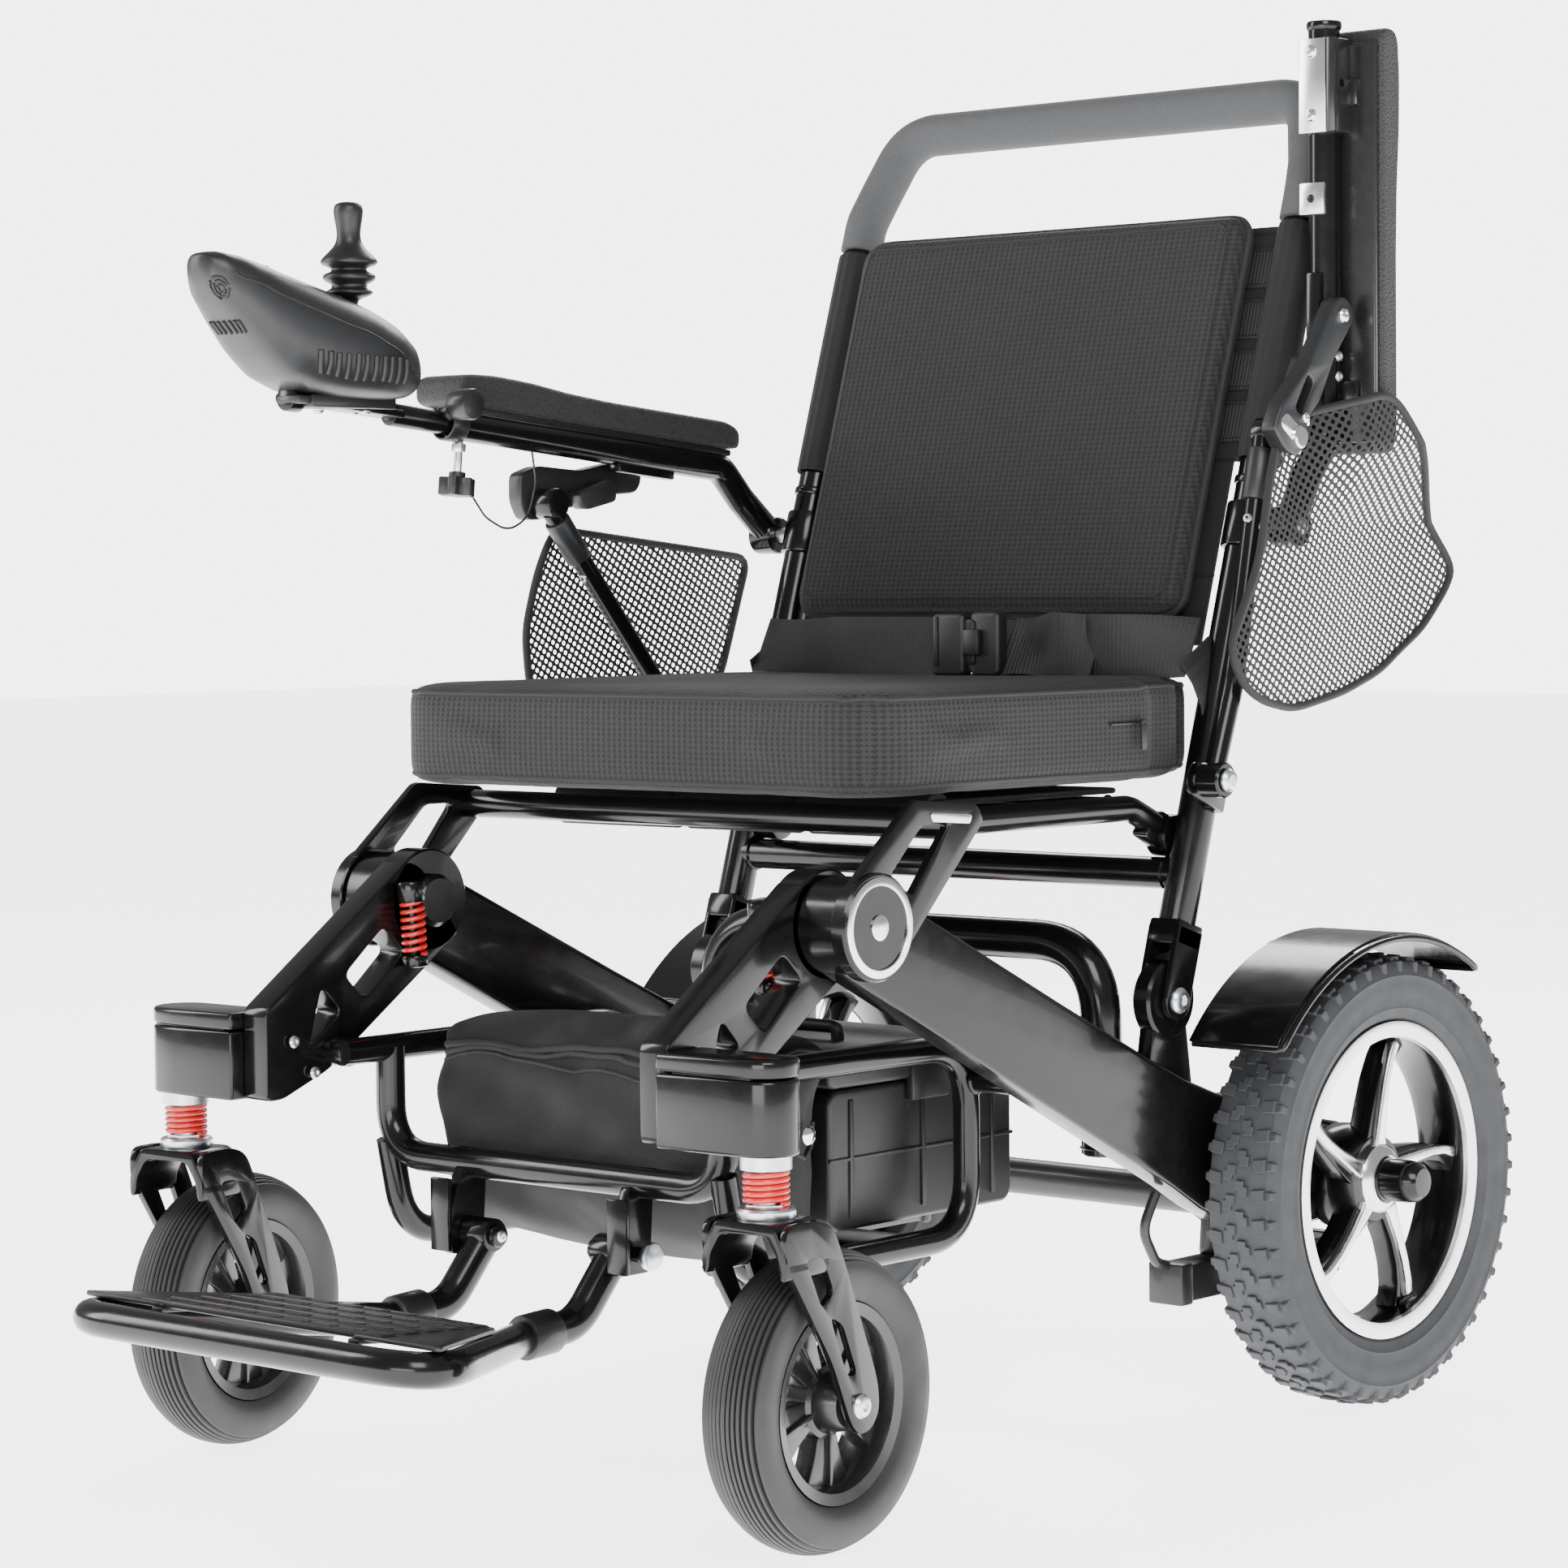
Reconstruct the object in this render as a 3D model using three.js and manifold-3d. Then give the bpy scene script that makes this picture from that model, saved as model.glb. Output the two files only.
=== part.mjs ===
// Folding power wheelchair, built as separate named sub-parts.
// Millimetres, +Z up, front towards -Y, the user's left towards +X.
// The origin is the bottom centre of the whole chair, so the rear axle stands AXLE_Y behind it.
import * as THREE from 'three';
import * as BufferGeometryUtils from 'three/addons/utils/BufferGeometryUtils.js';
import Module from 'manifold-3d';

const wasm = await Module();
wasm.setup();

// ---------------------------------------------------------------- driving dimensions
const AXLE_Y = 341.9; // rear axle, behind the origin
const GAP = 0.3; // room between pieces that touch
const WHEEL_SIDES = 28; // flats round a rear wheel
const CASTER_SIDES = 22;

const REAR_WHEEL = { x: 251, r: 159, half: 28.5, rimR: 111.5, capX: 301 };
const CASTER = { x: 259, y: -645, trail: 48.5, r: 92.5, half: 22.8, hubR: 61 };
const SWIVEL = { left: 3.3, right: 8.7 }; // degrees that each caster stands turned at rest
const STEM = { r: 9, bore: 9.4, forkTop: 208, boxLow: 246, boxTop: 304 };

const HINGE = { y: -505, z: 369, r: 31, eyeR: 35, ringR: 34 }; // front fold hinge
const PIVOT = { y: -172, z: 296, r: 27 }; // foot of each back post
const LEAN = 17.5; // degrees that the back leans rearward
const SEAT_PIN = { y: -136, z: 405 }; // seat frame on the back posts
const SEAT_TUBE = { y: -412, z: 429, r: 10 }; // front cross tube of the seat links

const ARM_INNER = 167; // front leg casting, from and to in x
const ARM_OUTER = 189;
const SIDE_INNER = 189.4; // main side tube
const SIDE_OUTER = 215;
const LINK_INNER = 219; // seat link casting
const LINK_OUTER = 230.2; // just inside a lowered armrest's strut
const LINK_PLATE = 226.5; // outside of the link's strut, clear of a lowered armrest when folded
const POST_X = 203;
const POST_R = 13;

const CUSHION = { half: 221, waist: 209, front: -500, back: -143, low: 447, top: 515 };
const ARMREST = { x: 238, y: -72, z: 617, down: 5.4, up: 90, tubeW: 46, end: 347 };
const KNOB_U = 335; // clamp knob under the right armrest's tube
const STRUT_PIN = { y: -162, z: 446 };
const BRACKET_PIN = { u: 145, w: 30 }; // on the armrest, forward and above its pivot
const BRACKET_LENGTH = 98;
const STRUT_LENGTH = 243.5;

const FOOT_PIN = { x: 58, y: -566, z: 159 };
const FOOT_PITCH = 5.55; // degrees that the footplate rises to the front

// ---------------------------------------------------------------- materials
const paint = (color, roughness, metalness) =>
  new THREE.MeshStandardMaterial({ color, roughness, metalness });
const GLOSS_BLACK = paint(0x0a0a0b, 0.16, 0.35);
const MATTE_BLACK = paint(0x1b1c1e, 0.6, 0);
const TYRE_GREY = paint(0x2a2b2d, 0.75, 0);
const RIM_SILVER = paint(0xc9cbd0, 0.3, 0.9);
const ZINC = paint(0xc2c9cf, 0.3, 0.9);
const SPRING_RED = paint(0xc01818, 0.35, 0.1);
const FOAM_GREY = paint(0x3a3b3d, 0.8, 0);
const FABRIC_BLACK = paint(0x1a1a1b, 0.9, 0);
const MESH_BLACK = paint(0x161617, 0.85, 0);
const PLASTIC_GREY = paint(0x2c2d30, 0.45, 0);

// ---------------------------------------------------------------- solids
const rad = (degrees) => (degrees * Math.PI) / 180;

function solid(geometry) {
  const bare = geometry.index ? geometry.clone() : geometry;
  for (const name of ['normal', 'uv']) bare.deleteAttribute(name);
  const merged = BufferGeometryUtils.mergeVertices(bare, 1e-4);
  const position = new Float32Array(merged.attributes.position.array);
  const index = new Uint32Array(merged.index.array);
  if (signedVolume(position, index) < 0) {
    for (let i = 0; i < index.length; i += 3) [index[i], index[i + 1]] = [index[i + 1], index[i]];
  }
  return new wasm.Manifold(new wasm.Mesh({ numProp: 3, vertProperties: position, triVerts: index }));
}

function signedVolume(p, index) {
  let sum = 0;
  for (let i = 0; i < index.length; i += 3) {
    const [a, b, c] = [index[i] * 3, index[i + 1] * 3, index[i + 2] * 3];
    sum += p[a] * (p[b + 1] * p[c + 2] - p[b + 2] * p[c + 1]);
    sum += p[a + 1] * (p[b + 2] * p[c] - p[b] * p[c + 2]);
    sum += p[a + 2] * (p[b] * p[c + 1] - p[b + 1] * p[c]);
  }
  return sum / 6;
}

function join(first, ...rest) {
  return rest.reduce((whole, piece) => whole.add(piece), first);
}

function cut(whole, ...tools) {
  return tools.reduce((left, tool) => left.subtract(tool), whole);
}

function toGeometry(manifold) {
  const mesh = manifold.getMesh();
  const geometry = new THREE.BufferGeometry();
  const position = new THREE.Float32BufferAttribute(mesh.vertProperties, 3);
  geometry.setAttribute('position', position);
  geometry.setIndex(new THREE.Uint32BufferAttribute(mesh.triVerts, 1));
  geometry.computeVertexNormals();
  return geometry;
}

// ---------------------------------------------------------------- outlines
const toPoints = (list) => list.map(([a, b]) => new THREE.Vector2(a, b));

function arc(a, b, r, from, to, steps) {
  return Array.from({ length: steps + 1 }, (_, i) => {
    const t = rad(from + ((to - from) * i) / steps);
    return [a + r * Math.cos(t), b + r * Math.sin(t)];
  });
}

const disc = (a, b, r, sides = 20) => arc(a, b, r, 0, 360 - 360 / sides, sides - 1);

function rounded(a0, a1, b0, b1, r, steps = 3) {
  return [
    ...arc(a1 - r, b0 + r, r, -90, 0, steps),
    ...arc(a1 - r, b1 - r, r, 0, 90, steps),
    ...arc(a0 + r, b1 - r, r, 90, 180, steps),
    ...arc(a0 + r, b0 + r, r, 180, 270, steps),
  ];
}

function slab(outline, depth) {
  return new THREE.ExtrudeGeometry(new THREE.Shape(toPoints(outline)), { depth, bevelEnabled: false });
}

// An outline of (y, z) points, standing from x0 to x1.
function plateX(outline, x0, x1) {
  const turn = new THREE.Matrix4().makeBasis(
    new THREE.Vector3(0, 1, 0), new THREE.Vector3(0, 0, 1), new THREE.Vector3(1, 0, 0));
  return solid(slab(outline, x1 - x0).applyMatrix4(turn).translate(x0, 0, 0));
}

// An outline of (x, z) points, standing from y0 to y1.
function plateY(outline, y0, y1) {
  return solid(slab(outline, y1 - y0).rotateX(Math.PI / 2).translate(0, y1, 0));
}

// An outline of (x, y) points, standing from z0 to z1.
function plateZ(outline, z0, z1) {
  return solid(slab(outline, z1 - z0).translate(0, 0, z0));
}

function box(x0, x1, y0, y1, z0, z1) {
  const geometry = new THREE.BoxGeometry(x1 - x0, y1 - y0, z1 - z0);
  return solid(geometry.translate((x0 + x1) / 2, (y0 + y1) / 2, (z0 + z1) / 2));
}

// A profile of (radius, along) points turned about an axis through the centre.
function turned(profile, axis, centre, segments = 24) {
  const geometry = new THREE.LatheGeometry(toPoints(profile), segments);
  if (axis === 'x') geometry.rotateZ(-Math.PI / 2);
  if (axis === 'z') geometry.rotateX(Math.PI / 2);
  return solid(geometry.translate(...centre));
}

const pinX = (x0, x1, y, z, r, segments = 12) =>
  turned([[0, x0], [r, x0], [r, x1], [0, x1]], 'x', [0, y, z], segments);

const pinZ = (x, y, z0, z1, r, segments = 12) =>
  turned([[0, z0], [r, z0], [r, z1], [0, z1]], 'z', [x, y, 0], segments);

const ring = (inner, outer, from, to) =>
  [[inner, from], [outer, from], [outer, to], [inner, to], [inner, from]];

// ---------------------------------------------------------------- tubes
// A path of straight runs with round bends, whose steps fall only where the tube turns.
class BentPath extends THREE.Curve {
  constructor(corners, radius, steps) {
    super();
    const at = corners.map((corner) => new THREE.Vector3(...corner));
    this.stops = [at[0]];
    for (let i = 1; i < at.length - 1; i += 1) this.addBend(at[i - 1], at[i], at[i + 1], radius, steps);
    this.stops.push(at[at.length - 1]);
  }

  addBend(before, corner, after, radius, steps) {
    const back = before.clone().sub(corner);
    const on = after.clone().sub(corner);
    const half = back.angleTo(on) / 2;
    const reach = Math.min(radius / Math.tan(half), back.length() * 0.48, on.length() * 0.48);
    const start = corner.clone().addScaledVector(back.normalize(), reach);
    const end = corner.clone().addScaledVector(on.normalize(), reach);
    const bend = new THREE.QuadraticBezierCurve3(start, corner, end);
    this.stops.push(...bend.getPoints(steps));
  }

  getPoint(t) {
    const place = t * (this.stops.length - 1);
    const i = Math.min(Math.floor(place), this.stops.length - 2);
    return this.stops[i].clone().lerp(this.stops[i + 1], place - i);
  }

  getPointAt(t) {
    return this.getPoint(t);
  }

  getTangentAt(t) {
    const i = Math.round(t * (this.stops.length - 1));
    const from = this.stops[Math.max(i - 1, 0)];
    const to = this.stops[Math.min(i + 1, this.stops.length - 1)];
    return to.clone().sub(from).normalize();
  }
}

function tube(corners, r, bend = 40, sides = 10, steps = 3) {
  const path = new BentPath(corners, bend, steps);
  const section = new THREE.Shape(toPoints(disc(0, 0, r, sides)));
  const options = { steps: path.stops.length - 1, bevelEnabled: false, extrudePath: path };
  return solid(new THREE.ExtrudeGeometry(section, options));
}

const mirrored = (corners) => [...corners, ...corners.map(([x, y, z]) => [-x, y, z]).reverse()];

// ---------------------------------------------------------------- scene
const chair = new THREE.Group();
const chassis = new THREE.Group();
chassis.position.y = AXLE_Y;
chair.add(chassis);

function add(name, manifold, material, parent = chassis) {
  const mesh = new THREE.Mesh(toGeometry(manifold), material);
  mesh.name = name;
  parent.add(mesh);
  return mesh;
}

// A group whose local frame starts at (x, y, z) and is turned about X, front side up for positive degrees.
function frameAt(y, z, frontUp, parent = chassis) {
  const group = new THREE.Group();
  group.position.set(0, y, z);
  group.rotation.x = -rad(frontUp);
  parent.add(group);
  return group;
}

const flip = (manifold, side) => (side > 0 ? manifold : manifold.mirror([1, 0, 0]));
const SIDES = [['left', 1], ['right', -1]];

// ---------------------------------------------------------------- chassis
function sideTube() {
  const { y, z, r } = HINGE;
  const outline = [
    [-491, 397], [-201, 259], [-126, 229], [-40, 206], [34, 192], [40, 184], [40, 134], [30, 127],
    [-40, 124], [-110, 136], [-174, 168], [-519, 341],
  ];
  const drum = turned(ring(14, r, SIDE_INNER, 218.6), 'x', [0, y, z], 20);
  const web = plateX(outline, SIDE_INNER, SIDE_OUTER);
  const neck = plateX([[-196, 246], [-150, 234], [-158, PIVOT.z], [-186, PIVOT.z]], 197, 209);
  const eye = pinX(195.5, 210.5, PIVOT.y, PIVOT.z, PIVOT.r, 18);
  const boltHole = pinX(186, 224, PIVOT.y, PIVOT.z, 6.5, 10);
  const bore = pinX(186, 224, y, z, 14, 16);
  const axleHole = pinX(186, 218, 0, REAR_WHEEL.r, 11, 12);
  return cut(join(cut(web, bore), drum, neck, eye), axleHole, boltHole);
}

function motor() {
  const body = turned([[0, 112], [30, 112], [45, 124], [45, 176], [38, 186], [38, 189.1], [0, 189.1]],
    'x', [0, 0, REAR_WHEEL.r], 18);
  const shaft = pinX(185, 222, 0, REAR_WHEEL.r, 10.5, 10);
  const brake = pinX(96, 114, 0, REAR_WHEEL.r, 26, 14);
  return join(body, shaft, brake);
}

function mudguard() {
  const centre = [-20, 142];
  const shell = [...arc(...centre, 193, 58, 139, 8), ...arc(...centre, 190, 139, 58, 8)];
  const lip = [...arc(...centre, 190.5, 58, 139, 8), ...arc(...centre, 180, 139, 58, 8)];
  const stay = plateX([[-75, 217], [-50, 210], [-46, 331], [-71, 328]], 215.3, 221);
  return join(plateX(shell, 219, 296), plateX(lip, 293, 296), stay);
}

function rearArch() {
  const foot = 192;
  const arch = tube(mirrored([[175, -205, foot], [175, -205, 335]]), 14, 55);
  const lugs = SIDES.map(([, s]) => flip(box(176, 189.1, -217, -193, 194, 236), s));
  const hanger = box(-30, 30, -212, -198, 330, 346);
  return join(arch, ...lugs, hanger);
}

function axleBeam() {
  const beam = tube([[-189.1, -82, 148], [189.1, -82, 148]], 13);
  const tips = SIDES.map(([, s]) => {
    const receiver = box(177, 203, -154, 40, 84, 110);
    const hanger = box(178, 188, -94, -70, 108, 150);
    return flip(join(receiver, hanger), s);
  });
  return join(beam, ...tips);
}

function trayFrame() {
  const x = 150;
  const loops = SIDES.map(([, s]) => {
    const corners = [[x, -604, 275], [x, -321, 275], [x, -321, 148], [x, -548, 148], [x, -562, 214]];
    const loop = tube(corners, 9, 42, 8, 2);
    const stub = pinX(x, 189.1, -321, 252, 8, 8);
    return flip(join(loop, stub), s);
  });
  const bumper = tube(mirrored([[x, -560, 276], [x, -560, 204]]), 10, 55, 8, 3);
  const lug = plateX([[-582, 146], [-553, 146], [-549, 204], [-571, 204], [-582, 176]], 71, 79);
  const lugs = SIDES.map(([, s]) => flip(lug, s));
  const shelf = box(-140, 140, -402, -334, 141, 146);
  const rails = SIDES.map(([, s]) => flip(box(136, 146, -402, -334, 141, 152), s));
  return cut(join(...loops, bumper, ...lugs, shelf, ...rails),
    ...SIDES.map(([, s]) => flip(pinX(60, 112, FOOT_PIN.y, FOOT_PIN.z, 5.6, 8), s)));
}

function batteryCase() {
  const body = plateX(rounded(-424, -232, 158, 256, 10, 2), -118, 118);
  const lid = plateX(rounded(-428, -228, 250, 272, 8, 2), -122, 122);
  const second = box(-104, 104, -236, -222.5, 176, 240);
  return join(body, lid, second);
}

function storageBag() {
  const outline = [[-536, 288], [-452, 294], [-434, 284], [-432, 158], [-446, 138], [-520, 158], [-544, 196]];
  return plateX(outline, -136, 136);
}

function rearRim() {
  const { x, rimR, capX } = REAR_WHEEL;
  const barrel = [[98, -25], [rimR, -25], [rimR, 25], [98, 25], [98, -25]];
  const rim = turned(barrel, 'x', [x, 0, 159], WHEEL_SIDES);
  const hub = turned([[0, 222.4], [30, 222.4], [32, 262], [13, 276], [12, capX], [0, capX]],
    'x', [0, 0, 159], 14);
  const spokes = Array.from({ length: 5 }, (_, i) => {
    const spoke = plateX([[-11, 20], [11, 20], [15, 99], [-4, 99]], 254, 268);
    return spoke.rotate([72 * i, 0, 0]).translate([0, 0, 159]);
  });
  return join(rim, hub, ...spokes);
}

function rearTyre() {
  const { x, r, half, rimR } = REAR_WHEEL;
  const inner = rimR + GAP;
  const profile = [[inner, -22], [138, -half], [153, -24], [r, -12], [r, 12], [153, 24], [138, half],
    [inner, 22], [inner, -22]];
  return turned(profile, 'x', [x, 0, 159], WHEEL_SIDES);
}

function freewheelLever() {
  const eye = pinX(84, 95.5, -18, REAR_WHEEL.r + 8, 9, 14);
  const arm = plateX([[-26, 165], [-14, 175], [-96, 246], [-104, 252], [-110, 244]], 86, 93);
  return join(eye, arm);
}

function buildChassis() {
  for (const [side, s] of SIDES) {
    add(`side_tube_${side}`, flip(sideTube(), s), GLOSS_BLACK);
    add(`drive_motor_${side}`, flip(motor(), s), MATTE_BLACK);
    add(`mudguard_${side}`, flip(mudguard(), s), GLOSS_BLACK);
    add(`rear_rim_${side}`, flip(rearRim(), s), RIM_SILVER);
    add(`rear_tyre_${side}`, flip(rearTyre(), s), TYRE_GREY);
    add(`freewheel_lever_${side}`, flip(freewheelLever(), s), SPRING_RED);
  }
  add('rear_arch', rearArch(), GLOSS_BLACK);
  add('axle_beam', axleBeam(), GLOSS_BLACK);
  add('tray_frame', trayFrame(), GLOSS_BLACK);
  add('battery_case', batteryCase(), MATTE_BLACK);
  add('storage_bag', storageBag(), FABRIC_BLACK);
}

// ---------------------------------------------------------------- front legs and casters
function frontLeg() {
  const { y, z, eyeR } = HINGE;
  const outline = [[-525, 397.6], [-655, 306], [-655, 246], [-641, 246], [-600, 262], [-485.4, 340.2]];
  const arm = join(plateX(outline, ARM_INNER, ARM_OUTER), pinX(ARM_INNER, ARM_OUTER, y, z, eyeR, 20));
  const windows = [
    [[-548, 354], [-530, 336], [-566, 306], [-584, 324]],
    [[-605, 318], [-588, 300], [-617, 278]],
  ];
  const spigot = pinX(ARM_OUTER - 1, 218.4, y, z, 13.2, 14);
  return cut(join(arm, spigot), ...windows.map((w) => plateX(w, 160, 200)));
}

function casterBox() {
  const { x, y } = CASTER;
  const nose = arc(x, y, 18.5, -80, 80, 6);
  const outline = [[189.3, y - 21], [240, y - 21], ...nose, [240, y + 21], [189.3, y + 21]];
  const body = plateZ(outline, STEM.boxLow, STEM.boxTop);
  const washer = pinZ(x, y, 238, STEM.boxLow + 1, 14.5, 16);
  return cut(join(body, washer), pinZ(x, y, 230, 298, STEM.bore + 0.3, 14));
}

function seatLink() {
  const { y, z, ringR } = HINGE;
  const sides = SIDES.map(([, s]) => {
    const eye = pinX(LINK_INNER, LINK_OUTER, y, z, ringR, 20);
    const outline = [[-526.3, 395.5], [-465, 446], [-402, 441], [-395, 430], [-481, 345]];
    const window = [[-489, 400], [-458, 430], [-432, 430], [-470, 385]];
    const strut = cut(plateX(outline, LINK_INNER + 0.5, LINK_PLATE), plateX(window, 210, 250));
    return flip(join(eye, strut), s);
  });
  const end = LINK_INNER + 5;
  const cross = tube([[-end, SEAT_TUBE.y, SEAT_TUBE.z], [end, SEAT_TUBE.y, SEAT_TUBE.z]], SEAT_TUBE.r);
  return join(...sides, cross);
}

function casterStem() {
  const shaft = pinZ(0, 0, STEM.forkTop + GAP, 281, STEM.r, 14);
  const collar = pinZ(0, 0, STEM.forkTop + GAP, 216, 14.5, 16);
  return join(shaft, collar);
}

function casterFork() {
  const { trail, r } = CASTER;
  const front = [[-21, 208], [21, 208], [31.5, 186], [31.5, 70], [27, 70], [27, 184], [18, 202], [-18, 202],
    [-27, 184], [-27, 70], [-31.5, 70], [-31.5, 186]];
  const side = [[-25, 209], [22, 209], [68, 102], [67, 84], [56, 76], [41, 80], [18, 128], [-25, 176]];
  const windows = [
    [[-2, 186], [14, 186], [24, 162], [10, 156]],
    [[22, 148], [34, 142], [46, 112], [36, 112]],
  ];
  const axle = pinX(-33.5, 33.5, trail, r, 6, 10);
  const plates = plateY(front, -30, 80).intersect(plateX(side, -40, 40));
  return join(cut(plates, ...windows.map((w) => plateX(w, -40, 40))), axle);
}

function casterTyre() {
  const { r, half, trail, hubR } = CASTER;
  const inner = hubR + GAP;
  const profile = [[inner, -19], [80, -half], [r, -8], [r, 8], [80, half], [inner, 19], [inner, -19]];
  return turned(profile, 'x', [0, trail, r], CASTER_SIDES);
}

function casterHub() {
  const { r, trail, hubR } = CASTER;
  const profile = [[6.5, -25], [16, -25], [20, -9], [52, -9], [hubR, -17], [hubR, 17], [52, 9], [20, 9],
    [16, 25], [6.5, 25], [6.5, -25]];
  const wheel = turned(profile, 'x', [0, trail, r], CASTER_SIDES);
  const holes = Array.from({ length: 5 }, (_, i) => {
    const hole = plateX([[-12, 26], [12, 26], [18, 47], [-18, 47]], -30, 30);
    return hole.rotate([72 * i, 0, 0]).translate([0, trail, r]);
  });
  return cut(wheel, ...holes);
}

function buildCaster(side, s) {
  const stem = new THREE.Group();
  stem.position.set(s * CASTER.x, CASTER.y, 0);
  chassis.add(stem);
  add(`caster_stem_${side}`, casterStem(), ZINC, stem);
  add(`caster_spring_${side}`, turned(ring(9.8, 13.5, 216.3, 237.7), 'z', [0, 0, 0], 14), SPRING_RED, stem);
  const swivel = new THREE.Group();
  swivel.rotation.z = rad(SWIVEL[side]);
  stem.add(swivel);
  add(`caster_fork_${side}`, casterFork(), GLOSS_BLACK, swivel);
  add(`caster_tyre_${side}`, casterTyre(), TYRE_GREY, swivel);
  add(`caster_hub_${side}`, casterHub(), MATTE_BLACK, swivel);
}

function buildFront() {
  for (const [side, s] of SIDES) {
    add(`front_leg_${side}`, flip(frontLeg(), s), GLOSS_BLACK);
    add(`caster_box_${side}`, flip(casterBox(), s), GLOSS_BLACK);
    buildCaster(side, s);
  }
  add('seat_link', seatLink(), GLOSS_BLACK);
}

// ---------------------------------------------------------------- seat
function seatFrame() {
  const rails = SIDES.map(([, s]) => {
    const rail = tube([[180, -152, 414], [180, -180, 426], [180, -380, 426]], 9, 30, 8, 2);
    const eye = pinX(172, 189.6, SEAT_PIN.y, SEAT_PIN.z, 15, 14);
    const web = plateX([[-170, 408], [-140, 393], [-124, 412], [-150, 424]], 174, 186);
    return flip(join(rail, eye, web), s);
  });
  const bars = [-190, -285, -372].map((y) => tube([[-180, y, 426], [180, y, 426]], 8, 10, 8));
  const sling = box(-172, 172, -380, -176, 431, 446.5);
  return join(...rails, ...bars, sling);
}

function seatCushion() {
  const { half, waist, front, back, low, top } = CUSHION;
  const r = 42;
  const outline = [[-half, -204], ...arc(-half + r, front + r, r, 180, 270, 4),
    ...arc(half - r, front + r, r, 270, 360, 4), [half, -204], [waist, -192], [waist, -152], [188, back],
    [188, -112], [-188, -112], [-188, back], [-waist, -152], [-waist, -192]];
  return plateZ(outline, low, top);
}

// ---------------------------------------------------------------- back, in a frame along the posts
const BACK = {
  postTop: 562, slingLow: 290, slingTop: 559, sleeveLow: 384, padLow: 264, padTop: 563, handleTop: 660,
};

function backFrame() {
  const posts = SIDES.map(([, s]) => {
    const post = pinZ(POST_X, 0, 44, BACK.postTop, POST_R, 10);
    const ears = [[190, 194.7], [211.3, 216]].map(([a, b]) =>
      plateX([...arc(0, 0, 14, 180, 360, 6), [14, 50], [-14, 50]], a, b));
    const yoke = box(190, 216, -14, 14, 34, 52);
    const bolt = pinX(191, 215, 0, 0, 6, 10);
    return flip(join(post, ...ears, yoke, bolt, strutLug(), armrestPin()), s);
  });
  return join(...posts, tube([[-POST_X, 0, 88], [POST_X, 0, 88]], 11, 10, 8));
}

// Points of the upright chair brought into the frame along the posts.
function toBack(y, z) {
  const [dy, dz, t] = [y - PIVOT.y, z - PIVOT.z, rad(LEAN)];
  return [dy * Math.cos(t) - dz * Math.sin(t), dy * Math.sin(t) + dz * Math.cos(t)];
}

function strutLug() {
  const [y, z] = toBack(STRUT_PIN.y, STRUT_PIN.z);
  const plate = plateX([...arc(y, z, 12, 90, 270, 6), [0, z - 14], [0, z + 14]], 222.6, 225.4);
  const boss = box(207, 225.4, -9, 4, z - 14, z + 14);
  const pin = pinX(223, 249.5, y, z, 5, 10);
  return join(plate, boss, pin);
}

function armrestPin() {
  const [y, z] = toBack(ARMREST.y, ARMREST.z);
  const collar = pinZ(POST_X, 0, z - 16, z + 16, 16, 10);
  const pin = pinX(210, 250.5, y, z, 6, 10);
  return join(collar, pin);
}

function backSling() {
  const sheet = box(-184, 184, -6, 0, BACK.slingLow, BACK.slingTop);
  const wide = box(-200, 200, -6, 0, BACK.sleeveLow, BACK.slingTop);
  const sleeves = SIDES.map(([, s]) => flip(pinZ(POST_X, 0, BACK.sleeveLow, BACK.slingTop, 16, 10), s));
  const posts = SIDES.map(([, s]) => flip(pinZ(POST_X, 0, 200, 600, POST_R + 0.4, 10), s));
  return cut(join(sheet, wide, ...sleeves), ...posts);
}

function backPad() {
  const outline = rounded(-178, 178, BACK.padLow, BACK.padTop, 22, 3);
  return plateY(outline, -32, -6.4);
}

function handleGrip() {
  const foot = [POST_X, 0, BACK.postTop + GAP];
  const corners = [foot, [POST_X, 0, 586], [199, 4, 608], [184, 10, BACK.handleTop]];
  return tube(mirrored(corners), 16, 55, 10, 3);
}

function lapBelt() {
  const sweep = (r, y) => arc(0, y, r, 240, 300, 9);
  const outline = [...sweep(372, 184), ...sweep(368, 184).reverse()];
  return plateZ(outline, CUSHION.top + GAP, 558);
}

function beltBuckle() {
  return plateZ([[22, -200.5], [80, -192.5], [80, -180.9], [22, -188.9]], CUSHION.top + GAP, 562);
}

function buildSeat() {
  add('seat_frame', seatFrame(), GLOSS_BLACK);
  add('seat_cushion', seatCushion(), MESH_BLACK);
  const back = frameAt(PIVOT.y, PIVOT.z, LEAN);
  add('back_frame', backFrame(), GLOSS_BLACK, back);
  add('back_sling', backSling(), FABRIC_BLACK, back);
  add('back_pad', backPad(), MESH_BLACK, back);
  add('handle_grip', handleGrip(), FOAM_GREY, back);
  add('lap_belt', lapBelt(), FABRIC_BLACK);
  add('belt_buckle', beltBuckle(), MATTE_BLACK);
}

// ---------------------------------------------------------------- armrests
// Each armrest is drawn with u forward along its tube and w above it; points become (-u, w) in (y, z).
// A round bar that runs forward from u0 to u1 at the height w.
const alongY = (x, w, u0, u1, r) => pinZ(x, w, u0, u1, r).rotate([90, 0, 0]);

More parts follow.
